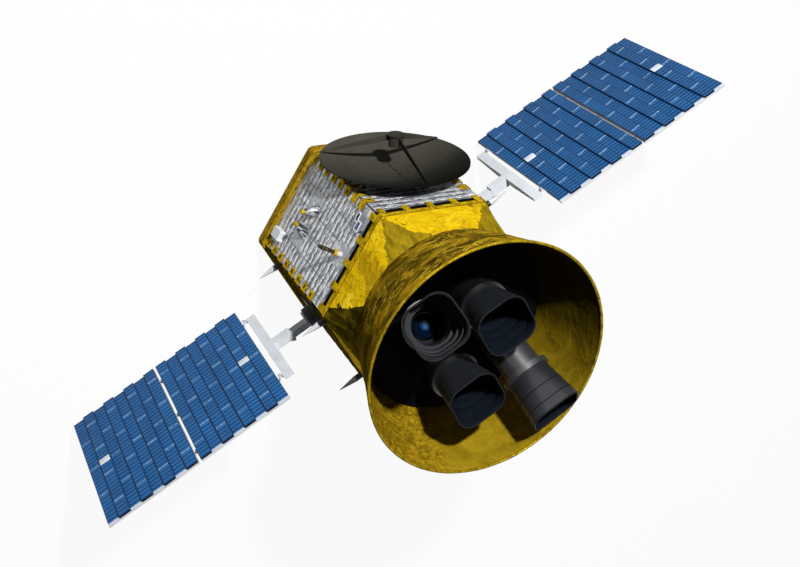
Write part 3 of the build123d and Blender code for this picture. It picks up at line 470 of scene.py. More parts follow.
def select_where(piece, kind, test):
    """In edit mode, selects just the edges or vertices whose place passes the test."""
    bpy.ops.mesh.select_mode(type={"edges": "EDGE", "verts": "VERT"}[kind])
    bpy.ops.mesh.select_all(action="DESELECT")
    shape = bmesh.from_edit_mesh(piece.data)
    for element in getattr(shape, kind):
        ends = (element,) if kind == "verts" else element.verts
        if test(*(end.co for end in ends)):
            element.select_set(True)
    shape.select_flush_mode()
    bmesh.update_edit_mesh(piece.data)


def apply_modifier(piece, name, kind, **settings):
    """Gives a piece a modifier with these settings and applies it."""
    modifier = piece.modifiers.new(name, kind)
    for setting, value in settings.items():
        setattr(modifier, setting, value)
    bpy.context.view_layer.objects.active = piece
    bpy.ops.object.modifier_apply(modifier=name)


def smooth_finish(piece, angle, bevel=0.0, segments=2):
    """Rounds a piece's sharp edges, if a bevel is given, and shades it smooth below an angle."""
    bpy.ops.object.select_all(action="DESELECT")
    piece.select_set(True)
    bpy.context.view_layer.objects.active = piece
    if bevel:
        apply_modifier(
            piece, "rounding", "BEVEL",
            width=bevel, segments=segments, limit_method="ANGLE", angle_limit=math.radians(40.0),
        )
    bpy.ops.object.shade_smooth_by_angle(angle=math.radians(angle))


panel_silver, tree, shader = shader_start("panel_silver")
point = object_point(tree)
# Painted shadow: the panels' tops are painted black as well, for the shade of the same gap.
gap_shade = combine("GREATER_THAN", split_axes(point)["Z"], GAP_SHADE_HEIGHT)
surface(shader, blend(gap_shade, ramp(noise(point, 60.0), *PANEL_TONES), GAP_SHADE_BLACK), 0.45, 0.1, 0.1)
dress(panel_silver, "silver_foil", "silver_side_panels")
clouds = bpy.data.textures.new("blanket_clouds", "CLOUDS")
clouds.noise_scale = CRUMPLE_SIZE
for face in SILVER_FACES:
    bpy.ops.object.select_all(action="DESELECT")
    bpy.ops.mesh.primitive_grid_add(
        x_subdivisions=PLEAT_COLUMNS, y_subdivisions=PLEAT_ROWS, size=1.0,
        location=(0.0, BLANKET_HEIGHT / 2, 0.0),
    )
    blanket = settle(f"blanket_{face}", (BLANKET_WIDTH, BLANKET_HEIGHT, 1.0))
    bpy.ops.object.mode_set(mode="EDIT")
    for level, lift in enumerate(PLEAT_LIFT):
        select_where(blanket, "verts", lambda at: round(at.y / PLEAT * 4) % 4 == level)
        bpy.ops.transform.translate(value=(0.0, 0.0, lift))
    bpy.ops.object.mode_set(mode="OBJECT")
    apply_modifier(blanket, "crumple", "DISPLACE", texture=clouds, strength=BLANKET_CRUMPLE, mid_level=0.5)
    apply_modifier(blanket, "film", "SOLIDIFY", thickness=FILM_THICK, offset=-1.0)
    blanket.data.transform(around_axis(face, BLANKET_OUT, 0.0, PLEAT_FOOT))
    smooth_finish(blanket, 40.0)
    fit_piece(blanket, silver_blanket(f"silver_blanket_{face}", 90.0 - face), "silver_foil", "bus")

# ---- Gold side panels: the two honeycomb panels behind the wings, screwed to the bus under a plain
# ---- gold blanket. Its film is painted dark as painted shade, and darker still beside the corners.
SIDE_SHADE_TONES = ((0.014, 0.010, 0.001), (0.045, 0.031, 0.002), (0.13, 0.088, 0.004))
SIDE_CREASE = (0.30, 0.20, 0.01)
SIDE_CORNER_SHADE = (0.004, 0.003, 0.001)
side_film, tree, shader, colour = gold_film(
    "side_film", SIDE_SHADE_TONES, SIDE_CREASE, 9.0, 0.008, creases=0.6, roughness=0.36, metal=0.05
)
# Painted shade: the film darkens to near black toward the corners of each gold face.
from_middle = combine("ABSOLUTE", split_axes(object_point(tree))["Y"])
side_corner_shade = ramp(from_middle, (0.19, 0.0), (0.235, 0.85))
feed(shader.inputs["Base Color"], blend(side_corner_shade, colour, SIDE_CORNER_SHADE))
dress(side_film, "gold_foil", "gold_side_panels")

# ---- Corner clips and skirt tabs: folded gold film straps that hold the blankets' edges, with a
# ---- dark slot-shaped plate on the clips' legs in the rows listed.
STRAP_TONES = ((0.20, 0.12, 0.006), (0.42, 0.27, 0.008), (0.64, 0.43, 0.010))
STRAP_CREASE = (0.80, 0.58, 0.04)
STRAP_PAINTED_SHADE = (0.014, 0.010, 0.001)
GOLD_FACE = 0.4734                # the straps' parts past this X lie on a gold face
CLIP_FIRST = 0.132
CLIP_PITCH = 0.0873
SLOT_OUT = 0.4768
SLOT_SIDE = 0.249
SLOT_SIZE = (0.021, 0.013)
SLOT_CORNER = 0.006
SLOT_ROWS = (
    # silver face, side of it, slots up from the foot
    (60, 1, 8), (120, -1, 6), (120, 1, 8), (240, -1, 8), (300, -1, 8), (300, 1, 8),
)
strap_film, tree, shader, colour = gold_film("strap_film", STRAP_TONES, STRAP_CREASE, 45.0, 0.0018)
# Painted shade: the straps' parts that lie on a gold face are painted near black.
on_gold_face = combine("GREATER_THAN", combine("ABSOLUTE", split_axes(object_point(tree))["X"]), GOLD_FACE)
shaded = blend(combine("MULTIPLY", on_gold_face, 0.93), colour, STRAP_PAINTED_SHADE)
feed(shader.inputs["Base Color"], shaded)
dress(strap_film, "gold_foil", "corner_clips", "skirt_tabs")
bpy.ops.object.select_all(action="DESELECT")
bpy.ops.mesh.primitive_plane_add(size=1.0)
slot_plate = settle("slot_plate", (*SLOT_SIZE, 1.0))
bpy.ops.object.mode_set(mode="EDIT")
bpy.ops.mesh.select_all(action="SELECT")
bpy.ops.mesh.bevel(offset=SLOT_CORNER, segments=4, affect="VERTICES")
bpy.ops.mesh.select_all(action="SELECT")
bpy.ops.mesh.extrude_region_move(TRANSFORM_OT_translate={"value": (0.0, 0.0, FILM_THICK)})
close_mesh()
slots = []
for face, edge, count in SLOT_ROWS:
    for row in range(count):
        place = around_axis(face, SLOT_OUT, edge * SLOT_SIDE, CLIP_FIRST + row * CLIP_PITCH)
        slots.append(copy_to(slot_plate, "slot_copy", place))
bpy.data.objects.remove(slot_plate)
fit_piece(join_all(slots, "clip_slots"), vent_black, "black_cavity", "bus")

# ---- Skirt: gold film drawn from the six-sided bus to the sunshade's round foot. Each side is
# ---- one flat facet, and a narrow facet opens upwards from every corner.
SKIRT_SEAM_HEIGHT = 0.935
SKIRT_RISE = 0.215
CORNER_OPENING = 14.4             # degrees, each way from the corner, at the skirt's top
CORNER_RAGGED = 16.0              # degrees that the painted corner shade's edge wanders
WIDER_PAST = -0.22                # the painted corner shade further toward -X than this spreads wider, by so many degrees a metre
WIDER_RATE = 30.0                 # by so many degrees a metre
SEAM_RISE = 0.006                 # share of the skirt's height
SKIRT_TONES = (
    (0.46, 0.285, 0.006), (0.65, 0.415, 0.006), (0.72, 0.47, 0.006), (0.77, 0.51, 0.008), (0.90, 0.64, 0.02)
)
SKIRT_CREASE = (0.44, 0.27, 0.01)
SKIRT_SPOT = (0.17, 0.105, 0.006)
SKIRT_SEAM = (0.040, 0.024, 0.003)
CORNER_SHADE_TONES = ((0.34, (0.17, 0.114, 0.005)), (0.55, (0.31, 0.208, 0.008)), (0.74, (0.43, 0.295, 0.014)))
SHADED_SIDE_TONES = ((0.38, (0.012, 0.009, 0.001)), (0.54, (0.050, 0.038, 0.003)), (0.72, (0.16, 0.120, 0.006)))
BORDER_TONES = ((0.40, (0.34, 0.20, 0.004)), (0.62, (0.66, 0.43, 0.008)))
skirt_film, tree, shader, colour = gold_film(
    "skirt_film", SKIRT_TONES, SKIRT_CREASE, 7.0, 0.010, creases=0.60
)
point = object_point(tree)
x, y, z = split_axes(point)
sixth = combine("FRACT", combine("MULTIPLY_ADD", combine("ARCTAN2", y, x), 3.0 / math.pi, 12.0))
from_corner = combine("MULTIPLY", from_half(sixth), 60.0)
rise = combine("MULTIPLY", combine("SUBTRACT", z, SKIRT_SEAM_HEIGHT), 1.0 / SKIRT_RISE)
ragged = drawn_noise(tree, (24.0, 24.0, 13.0), 5.0, 0.62, 0.8)
inside = combine("SUBTRACT", combine("MULTIPLY", rise, CORNER_OPENING), from_corner)
wider = combine("MULTIPLY", combine("SUBTRACT", WIDER_PAST, x), WIDER_RATE)
inside = combine("ADD", inside, combine("MAXIMUM", wider, 0.0))
inside = combine("MULTIPLY_ADD", combine("SUBTRACT", ragged, 0.47), CORNER_RAGGED, inside)
# Painted shade: the corner facets are painted darker olive with ragged edges, and browner toward -X, away
# from the lamp.
corner_shade_share = ramp(inside, (0.0, 0.0), (0.30, 1.0))
streaks = drawn_noise(tree, (30.0, 30.0, 5.0), 4.0, 0.6, 0.5)
leftness = combine("SUBTRACT", combine("MULTIPLY", ragged, 0.2), x)
shaded_side = ramp(leftness, (0.22, 0.0), (0.34, 1.0))
corner_shade_tone = blend(shaded_side, ramp(streaks, *CORNER_SHADE_TONES), ramp(streaks, *SHADED_SIDE_TONES))
# Small dark brown spots across the film.
dark_spots = ramp(noise(point, 27.0, 3.0, 0.55, 0.3), (0.665, 0.0), (0.685, 0.85))
colour = blend(corner_shade_share, blend(dark_spots, colour, SKIRT_SPOT), corner_shade_tone)
border = ramp(noise(point, 30.0, 4.0, 0.6, 0.5), *BORDER_TONES)
colour = blend(combine("LESS_THAN", rise, 0.0), colour, border)
from_seam = combine("ABSOLUTE", combine("SUBTRACT", rise, SEAM_RISE))
colour = blend(ramp(from_seam, (0.009, 0.90), (0.015, 0.0)), colour, SKIRT_SEAM)
feed(shader.inputs["Base Color"], colour)
dress(skirt_film, "gold_foil", "skirt")

# ---- Instrument plate: a round machined plate, anodised black, inside the foot of the sunshade. The
# ---- cameras are bolted to it.
dress(core_black, "black_cavity", "instrument_plate")

# ---- Sunshade: a flared cone of gold film, crumpled inside and out, with a rolled bead round
# ---- its mouth. The outer film is painted darker and browner than the inner one, as painted shade.
SHADE_FOOT = (0.4615, 1.1505)     # radius and height of the middle of the wall
SHADE_MOUTH = (0.5808, 1.5565)
SHADE_RISE = SHADE_MOUTH[1] - SHADE_FOOT[1]
SHADE_SIDES = 192
SHADE_RINGS = 30
SHADE_WALL = 0.005
SHADE_DENTS = (
    # name, kind, size of a dent, depth
    ("shade_dents", "CLOUDS", 0.10, 0.0065),
    ("shade_creases", "VORONOI", 0.07, 0.0045),
)
BEAD_RADIUS = 0.0068
BEAD_HEIGHT = 1.557
BEAD_CRUMPLE = 0.0016
# Painted shade: the outer film's tones run much darker than the skirt's, a painted dark reflection.
OUTER_TONES = (
    (0.036, 0.023, 0.002), (0.080, 0.051, 0.003), (0.125, 0.080, 0.005), (0.19, 0.120, 0.006),
    (0.40, 0.235, 0.010),
)
OUTER_CREASE = (0.76, 0.53, 0.04)
OUTER_PAINTED_LIGHT = ((0.0, 0.40), (0.30, 0.50), (0.55, 1.0), (0.82, 1.0), (0.90, 0.45), (1.0, 0.40))
INNER_TONES = ((0.19, 0.126, 0.005), (0.245, 0.163, 0.006), (0.275, 0.184, 0.007), (0.34, 0.226, 0.010))
INNER_CREASE = (0.42, 0.30, 0.02)
INNER_PAINTED_LIGHT = ((0.0, 0.8), (0.20, 1.0), (0.31, 1.0), (0.42, 0.20), (0.55, 0.10), (0.85, 0.26), (1.0, 0.8))
PATCH_MIDDLE = (-0.50, -0.16, 1.36)
LIT_PATCH_TONES = ((0.40, (0.15, 0.092, 0.004)), (0.50, (0.29, 0.178, 0.006)), (0.60, (0.50, 0.31, 0.012)))
BEAD_TONES = ((0.14, 0.092, 0.003), (0.23, 0.152, 0.005), (0.34, 0.225, 0.008))
BEAD_CREASE = (0.56, 0.39, 0.02)
bpy.ops.object.select_all(action="DESELECT")
bpy.ops.mesh.primitive_cone_add(
    vertices=SHADE_SIDES, radius1=SHADE_FOOT[0], radius2=SHADE_MOUTH[0], end_fill_type="NOTHING",
    depth=SHADE_RISE, location=(0.0, 0.0, (SHADE_FOOT[1] + SHADE_MOUTH[1]) / 2),
)
shade = settle("sunshade_film")
bpy.ops.object.mode_set(mode="EDIT")
select_where(shade, "edges", lambda start, end: abs(start.z - end.z) > 0.5 * SHADE_RISE)
bpy.ops.mesh.subdivide(number_cuts=SHADE_RINGS)
bpy.ops.object.mode_set(mode="OBJECT")
free = shade.vertex_groups.new(name="free")
for vertex in shade.data.vertices:
    rise = (vertex.co.z - SHADE_FOOT[1]) / SHADE_RISE
    free.add([vertex.index], min(1.0, 8.0 * rise, 12.0 * (1.0 - rise)), "REPLACE")
for dent_name, dent_kind, dent_size, dent_depth in SHADE_DENTS:
    dent = bpy.data.textures.new(dent_name, dent_kind)
    dent.noise_scale = dent_size
    apply_modifier(
        shade, dent_name, "DISPLACE", texture=dent, strength=dent_depth, mid_level=0.5, vertex_group="free"
    )


def distance_from(point, place):
    """How far a point is from a place, in metres."""
    ends = {0: point, 1: place}
    return add_node(point.id_data, "ShaderNodeVectorMath", ends, operation="DISTANCE").outputs["Value"]


def painted_light_by_side(tree, shader, colour, sides):
    """Paints light and shade into a film by the side of the bus it is on: 0 and 1 face -X, 0.25 faces -Y, 0.5
    faces +X.
    """
    x, y, _ = split_axes(object_point(tree))
    turn = combine("MULTIPLY_ADD", combine("ARCTAN2", y, x), 0.5 / math.pi, 0.5)
    feed(shader.inputs["Base Color"], blend(1.0, colour, ramp(turn, *sides), "MULTIPLY"))


def lit_crumpled_patch(tree, colour):
    """Bright orange crumples in the film inside the sunshade, toward -X and -Y, where the lamp falls:
    crumpled film with painted light on it.
    """
    point = object_point(tree, scale=(1.0, 1.0, 1.6))
    reach = distance_from(object_point(tree), PATCH_MIDDLE)
    edge = combine("MULTIPLY_ADD", noise(point, 9.0, 3.0), -0.5, reach)
    orange = ramp(noise(point, 26.0, 5.0, 0.65, 1.3), *LIT_PATCH_TONES)
    return blend(ramp(edge, (0.0, 0.8), (0.06, 0.0)), colour, orange)


shade_outer, tree, shader, colour = gold_film(
    "shade_outer", OUTER_TONES, OUTER_CREASE, 8.0, 0.012,
    creases=1.0, roughness=0.36, metal=0.08, stretch=(1.0, 1.0, 1.6),
)
painted_light_by_side(tree, shader, colour, OUTER_PAINTED_LIGHT)
shade_inner, tree, shader, colour = gold_film(
    "shade_inner", INNER_TONES, INNER_CREASE, 5.0, 0.007,
    creases=0.3, roughness=0.40, metal=0.10, stretch=(1.0, 1.0, 1.5),
)
painted_light_by_side(tree, shader, lit_crumpled_patch(tree, colour), INNER_PAINTED_LIGHT)
fit_piece(shade, shade_outer, "gold_foil", "bus", "sunshade")
shade.data.materials.append(shade_inner)
apply_modifier(
    shade, "wall", "SOLIDIFY", thickness=SHADE_WALL, offset=0.0, material_offset=1, material_offset_rim=0
)
smooth_finish(shade, 60.0)

bpy.ops.object.select_all(action="DESELECT")
bpy.ops.mesh.primitive_torus_add(
    major_radius=SHADE_MOUTH[0], minor_radius=BEAD_RADIUS, major_segments=SHADE_SIDES,
    minor_segments=12, location=(0.0, 0.0, BEAD_HEIGHT),
)
bead = settle("sunshade_bead")
creases = bpy.data.textures["shade_creases"]
apply_modifier(bead, "wraps", "DISPLACE", texture=creases, strength=BEAD_CRUMPLE)
smooth_finish(bead, 60.0)
bead_film = gold_film("bead_film", BEAD_TONES, BEAD_CREASE, 30.0, 0.002, roughness=0.3)[0]
fit_piece(bead, bead_film, "gold_foil", "bus")

# ---- Cameras: satin black hoods, each a loft from a round barrel to a rounded square mouth, with
# ---- two grooves round it, a rolled lip and light-trap vanes inside.
CAMERAS = (
    # x, y and z of the mouth's middle, tilt of the axis toward +Y in degrees
    (-0.139, 0.412, 1.644, 34.0),
    (0.139, 0.127, 1.582, 2.4),
    (-0.139, -0.127, 1.582, -2.4),
    (0.139, -0.412, 1.644, -34.0),
)
HOOD_DEPTH = 0.213
HOOD_MOUTH = (0.125, 0.076)       # half width and corner radius
HOOD_ROOT = (0.104, 0.103)
LIP_PROUD = (0.0012, 0.001)       # past the mouth's half width and its corner radius
LIP_WIDTH = 0.0085
LIP_HEIGHTS = (-0.006, 0.001)     # from the mouth
LIP_ROUND = 0.003
GROOVES = (0.050, 0.119)          # depths behind the mouth
GROOVE_PROUD = 0.0009
GROOVE_HALF = 0.0022
GROOVE_REACH = 0.004              # in from the groove's outer edge
BORE_RADIUS = 0.0835
BORE_RINGS = (
    # name, width, low end and high end
    ("retaining_ring", 0.0245, -0.3448, -0.3410),
    ("bore_liner", 0.0012, -0.3405, -0.2140),
)
VANE_GAP = 0.0046                 # from the hood's outside in to a vane, past the hood's wall
VANE_CORNER = 0.004
VANE_ROUND = 0.0014
VANES = (
    # near end and far end behind the mouth, reach from the hood's wall
    (0.0015, 0.052, 0.0012),
    (0.052, 0.104, 0.005),
    (0.104, 0.152, 0.011),
    (0.152, 0.198, 0.019),
)


def rounded_ring(name, half, corner, width, low, high, flare=1.0):
    """A rounded square ring across a camera's axis, from low to high, flared so much on the way."""
    bpy.ops.object.select_all(action="DESELECT")
    bpy.ops.mesh.primitive_plane_add(size=2 * half, location=(0.0, 0.0, low))
    ring = settle(name)
    bpy.ops.object.mode_set(mode="EDIT")
    bpy.ops.mesh.select_all(action="SELECT")
    bpy.ops.mesh.bevel(offset=min(corner, 0.97 * half), segments=12, affect="VERTICES")
    bpy.ops.mesh.select_all(action="SELECT")
    bpy.ops.mesh.inset(thickness=width)
    bpy.ops.mesh.delete(type="FACE")
    bpy.ops.mesh.select_all(action="SELECT")
    bpy.ops.mesh.extrude_region_move(TRANSFORM_OT_translate={"value": (0.0, 0.0, high - low)})
    bpy.ops.transform.resize(value=(flare, flare, 1.0), center_override=(0.0, 0.0, high))
    close_mesh()
    return ring


def hood_section(depth):
    """Half width and corner radius of a hood so far behind its mouth."""
    share = depth / HOOD_DEPTH
    return tuple(mouth + share * (root - mouth) for mouth, root in zip(HOOD_MOUTH, HOOD_ROOT))


def camera_finish(name, turn, lone, rest, rough, gloss):
    """Black paint: one tone at +X and -Y, after a turn about Z in degrees, and another on the rest, painting
    light and shade on one camera.
    """
    material, tree, shader = shader_start(name)
    x, y, _ = split_axes(object_point(tree, turn))
    painted_light_quarter = combine("MULTIPLY", combine("GREATER_THAN", x, 0.0), combine("LESS_THAN", y, 0.0))
    surface(shader, blend(painted_light_quarter, rest, lone), rough, gloss)
    return material


# Painted highlight: the hood of the camera at +X and -Y is a little lighter.
hood_black = camera_finish("hood_black", 0.0, (0.013, 0.0145, 0.017), (0.011, 0.0125, 0.0145), 0.42, 0.30)
lip_black = satin_finish("lip_black", (0.013, 0.014, 0.016), 0.5, 0.0, 0.04)
# Painted highlight: the barrel of the camera at +X and -Y is much lighter.
barrel_black = camera_finish("barrel_black", 0.0, (0.026, 0.027, 0.029), (0.003, 0.003, 0.004), 0.37, 1.0)
# Painted light: the vanes inside the camera at -X and +Y are lighter.
vane_black = camera_finish("vane_black", 180.0, (0.034, 0.035, 0.038), (0.006, 0.0085, 0.0135), 0.60, 0.0)
# Painted shade: the grooves of the camera at +X and -Y are darker.
groove_black = camera_finish("groove_black", 0.0, (0.004, 0.004, 0.005), (0.010, 0.0115, 0.0135), 0.8, 0.1)
dress(hood_black, "camera_black", "camera_hoods")
dress(barrel_black, "camera_black", "camera_barrels")
dress(hood_black, "camera_black", "camera_wedges")
lip = rounded_ring("lip", HOOD_MOUTH[0] + LIP_PROUD[0], HOOD_MOUTH[1] + LIP_PROUD[1], LIP_WIDTH, *LIP_HEIGHTS)
smooth_finish(lip, 50.0, LIP_ROUND, 3)
grooves = []
for depth in GROOVES:
    half, corner = hood_section(depth)
    ends = (-depth - GROOVE_HALF, -depth + GROOVE_HALF)
    grooves.append(rounded_ring("groove", half + GROOVE_PROUD, corner, GROOVE_REACH, *ends))
for ring_name, width, low, high in BORE_RINGS:
    grooves.append(rounded_ring(ring_name, BORE_RADIUS, BORE_RADIUS, width, low, high))
vanes = []
for near_end, far_end, reach in VANES:
    half, corner = hood_section(far_end)
    half -= VANE_GAP
    flare = (hood_section(near_end)[0] - VANE_GAP) / half
    vane = rounded_ring("vane", half, corner - VANE_CORNER, reach, -far_end, -near_end, flare)
    smooth_finish(vane, 50.0, min(VANE_ROUND, 0.4 * reach))
    vanes.append(vane)
for part_name, patterns, finish in (
    ("camera_lips", [lip], lip_black),
    ("camera_grooves", grooves, groove_black),
    ("camera_vanes", vanes, vane_black),
):
    copies = []
    for x, y, z, tilt in CAMERAS:
        place = Matrix.Translation((x, y, z)) @ Matrix.Rotation(math.radians(-tilt), 4, "X")
        copies += [copy_to(pattern, part_name + "_copy", place) for pattern in patterns]
    for pattern in patterns:
        bpy.data.objects.remove(pattern)
    fit_piece(join_all(copies, part_name), finish, "camera_black", "bus")

# ---- Lenses: domed glass at the bottom of each camera's bore, held by a black retaining ring. Its
# ---- coating is dark blue; the bright middle and the faint rings round it are painted reflections.
LENS_DEPTH = 0.31
LENS_RADIUS = 0.058
LENS_COATING_AND_GLINT_TONES = (
    (0.0, (0.012, 0.17, 0.42)), (0.16, (0.005, 0.09, 0.24)), (0.34, (0.001, 0.010, 0.03)),
    (0.60, (0.0005, 0.002, 0.006)), (0.70, (0.001, 0.009, 0.027)), (0.75, (0.001, 0.003, 0.008)),
    (0.86, (0.001, 0.009, 0.028)), (0.91, (0.001, 0.002, 0.006)),
)
lens_blue, tree, shader = shader_start("lens_blue")
point = object_point(tree)
from_middle = 1.0
for x, y, z, tilt in CAMERAS:
    lean = math.radians(tilt)
    middle = (x, y - LENS_DEPTH * math.sin(lean), z - LENS_DEPTH * math.cos(lean))
    from_middle = combine("MINIMUM", from_middle, distance_from(point, middle))
# Painted reflections: a bright middle and faint rings on each lens's dark blue.
surface(shader, ramp(combine("MULTIPLY", from_middle, 1.0 / LENS_RADIUS), *LENS_COATING_AND_GLINT_TONES), 0.08, 0.20)
dress(lens_blue, "lens_glass", "camera_lenses")

# ---- Dish antenna: a bowl moulded in dark composite, with a feed on three blade struts. A dark
# ---- metal mount bolts it to one silver face.
DISH_FACE = 60
DISH_OUT = 0.5
DISH_HEIGHT = 0.4826
DISH_MIDDLE = around_axis(DISH_FACE, DISH_OUT, 0.0, DISH_HEIGHT).translation
DISH_TONES = ((0.32, (0.066, 0.062, 0.049)), (0.70, (0.086, 0.081, 0.066)))
BAND_WAVES = 150.0                # radians a metre out from the bowl's middle
PAINTED_LIGHT_SLANT = (0.303, -0.175)           # how much X and Y add to the height that the painted light follows
dish_brown, tree, shader = shader_start("dish_brown")
point = object_point(tree)
bands = combine("SINE", combine("MULTIPLY", distance_from(point, DISH_MIDDLE), BAND_WAVES))
fine = noise(point, 320.0, 2.0)
tone = combine("MULTIPLY_ADD", fine, 0.3, combine("MULTIPLY", noise(point, 5.0, 3.0), 0.7))
tone = combine("MULTIPLY_ADD", bands, 0.05, tone)
x, y, z = split_axes(point)
# Painted light and shade: the bowl is lighter low down and toward one edge, and darker high up, as the lamp
# falls on it.
painted_light_by_height = ramp(z, (0.20, 1.0), (0.52, 0.66), (0.82, 0.42))
sideways = combine("MULTIPLY_ADD", x, PAINTED_LIGHT_SLANT[0], combine("MULTIPLY", y, PAINTED_LIGHT_SLANT[1]))
painted_light_slant = combine("ADD", combine("ADD", z, sideways), 0.5 - DISH_HEIGHT)
painted_light_by_slant = ramp(painted_light_slant, (0.45, 0.92), (0.58, 0.70), (0.67, 0.42), (0.85, 0.28))
skin = blend(1.0, ramp(tone, *DISH_TONES), painted_light_by_height, "MULTIPLY")
surface(shader, blend(1.0, skin, painted_light_by_slant, "MULTIPLY"), 0.60, 0.0)
relief(shader, fine, 0.0004, 0.4)
dress(dish_brown, "dish_composite", "dish", "dish_feed", "dish_struts")
dark_bracket = satin_finish("dark_bracket", (0.013, 0.013, 0.014), 0.36, 0.0, 0.22)
dress(dark_bracket, "dark_metal", "dish_mount")


# ---- Antenna pads: thin squares covered in crumpled silver film, fixed over the pleated blanket
# ---- under the horn antennas and the rod.
KIT_FACE = 120                    # the face that the pads, horns, rod and sensor are on
GLINT = (0.76, 0.78, 0.81)


def silver_film(name, waves, dark, light):
    material, tree, shader = shader_start(name)
    point = object_point(tree, -KIT_FACE)
    drawn = add_node(tree, "ShaderNodeVectorMath", {0: point, 1: waves}, operation="MULTIPLY").outputs[0]
    pleats = noise(drawn, 1.0, 4.0, 0.6, 0.5)
    surface(shader, ramp(pleats, (0.47, dark), (0.56, light), (0.72, GLINT)), 0.30, metallic=0.3)
    relief(shader, pleats, 0.006)
    return material


pad_film = silver_film("pad_film", (20.0, 30.0, 30.0), (0.34, 0.36, 0.39), (0.46, 0.48, 0.51))
dress(pad_film, "silver_foil", "face_pads")

# ---- Horn antennas: two short cones wrapped in crumpled silver film, which lean toward each other.
# ---- Each has a knob in gold film at its neck.
horn_film = silver_film("horn_film", (9.0, 62.0, 62.0), (0.018, 0.020, 0.024), (0.34, 0.36, 0.39))
dress(horn_film, "silver_foil", "horn_antennas")
dress(strap_film, "gold_foil", "horn_knobs")

# ---- Rod antenna: a dark rod wound with tape that stands up in ribs, with flecks of gold film left
# ---- on it. It is screwed through a gold collar into a white socket.
ROD_RIB = 0.0085
COLLAR_END = 0.518                # from the bus's axis
SOCKET_END = 0.5015
ROD_TONES = ((0.42, (0.012, 0.009, 0.005)), (0.58, (0.045, 0.031, 0.009)), (0.68, (0.42, 0.28, 0.02)))
COLLAR_TONES = ((0.40, (0.45, 0.30, 0.02)), (0.60, (0.80, 0.58, 0.05)))
RIB_DARK = (0.010, 0.008, 0.004)
SOCKET_WHITE = (0.66, 0.68, 0.70)
rod_brown, tree, shader = shader_start("rod_brown")
point = object_point(tree, -KIT_FACE)
out = split_axes(point)["X"]
ribs = combine("SINE", combine("MULTIPLY", out, 2.0 * math.pi / ROD_RIB))
flecks = noise(point, 95.0, 3.0, 0.6)
skin = blend(combine("MULTIPLY_ADD", ribs, 0.3, 0.3), ramp(flecks, *ROD_TONES), RIB_DARK)
skin = blend(combine("LESS_THAN", out, COLLAR_END), skin, ramp(flecks, *COLLAR_TONES))
skin = blend(combine("LESS_THAN", out, SOCKET_END), skin, SOCKET_WHITE)
surface(shader, skin, 0.4, 0.2)
relief(shader, ribs, 0.0015)
dress(rod_brown, "gold_foil", "rod_antenna")


# ---- Attitude sensor: a chamfered metal head in pale speckled enamel, screwed on beside the rod
# ---- antenna. Raised white frames hold its blue glass window and its oval black port.
SENSOR_TOP = 0.490                # from the bus's axis
WINDOW_PLACE = (-0.168, 0.829)    # along the face, and height
WINDOW_SIZE = (0.042, 0.031)
WINDOW_THICK = 0.004
WINDOW_PROUD = 0.0005             # from the sensor's top to the middle of the pane
WINDOW_ROUND = 0.001
PORT_PLACE = (-0.201, 0.793)
PORT_RADII = (0.0200, 0.0110)     # along the face, and up
PORT_PROUD = -0.0001
PORT_DOME = ((1.0, 0.0), (1.0, 0.002), (0.6, 0.003))    # share of the radius, height
FRAME_WIDTH = 0.0065
FRAME_FOOT = -0.001
FRAME_ROUND = 0.0008
WINDOW_MARGIN = 0.0055            # from the window's edge to its frame's outer edge
WINDOW_FRAME_CORNER = 0.004
WINDOW_FRAME_TOP = 0.0034
PORT_MARGIN = 0.0060
PORT_FRAME_TOP = 0.003


def enamel(name, colour, speck_share=0.10, roughness=0.5):
    """Paint with a fine speckle, a slight orange-peel grain and faint grime."""
    material, tree, shader = shader_start(name)
    point = object_point(tree)
    specks = ramp(noise(point, 240.0, 2.0, 0.7), (0.38, 1.0 - 2.0 * speck_share), (0.60, 1.0))
    grime = ramp(noise(point, 7.0, 4.0), (0.34, 0.86), (0.60, 1.0))
    mottled = blend(1.0, specks, grime, "MULTIPLY")
    surface(shader, blend(1.0, mottled, colour, "MULTIPLY"), roughness, 0.3)
    relief(shader, noise(point, 420.0, 2.0), 0.0002, 0.4)
    return material


white_enamel = enamel("white_enamel", (0.66, 0.68, 0.72))
box_enamel = enamel("box_enamel", (0.84, 0.86, 0.88), 0.06)
dress(enamel("sensor_enamel", (0.30, 0.325, 0.365), 0.30), "white_paint", "attitude_sensor")
bpy.ops.object.select_all(action="DESELECT")
bpy.ops.mesh.primitive_cube_add(size=1.0)
window = settle("window", (*WINDOW_SIZE, WINDOW_THICK))
smooth_finish(window, 30.0, WINDOW_ROUND)
place = around_axis(KIT_FACE, SENSOR_TOP + WINDOW_PROUD, *WINDOW_PLACE)
window_pane = copy_to(window, "sensor_window", place)
window_blue = satin_finish("window_blue", (0.012, 0.045, 0.20), 0.12, 0.0, 0.5, 60.0, 0.0)
fit_piece(window_pane, window_blue, "lens_glass", "bus")
port = turned("port", [(share * PORT_RADII[0], height) for share, height in PORT_DOME], 24)
squash = Matrix.Diagonal((1.0, PORT_RADII[1] / PORT_RADII[0], 1.0, 1.0))
place = around_axis(KIT_FACE, SENSOR_TOP + PORT_PROUD, *PORT_PLACE)
port_disc = copy_to(port, "sensor_port", place @ squash)
fit_piece(port_disc, vent_black, "black_cavity", "bus")
half = 0.5 * WINDOW_SIZE[0] + WINDOW_MARGIN
window_frame = rounded_ring(
    "window_frame", half, WINDOW_FRAME_CORNER, FRAME_WIDTH, FRAME_FOOT, WINDOW_FRAME_TOP
)
half = PORT_RADII[0] + PORT_MARGIN
port_frame = rounded_ring("port_frame", half, PORT_RADII[0], FRAME_WIDTH, FRAME_FOOT, PORT_FRAME_TOP)
outer_sizes = [size + 2 * WINDOW_MARGIN for size in WINDOW_SIZE]
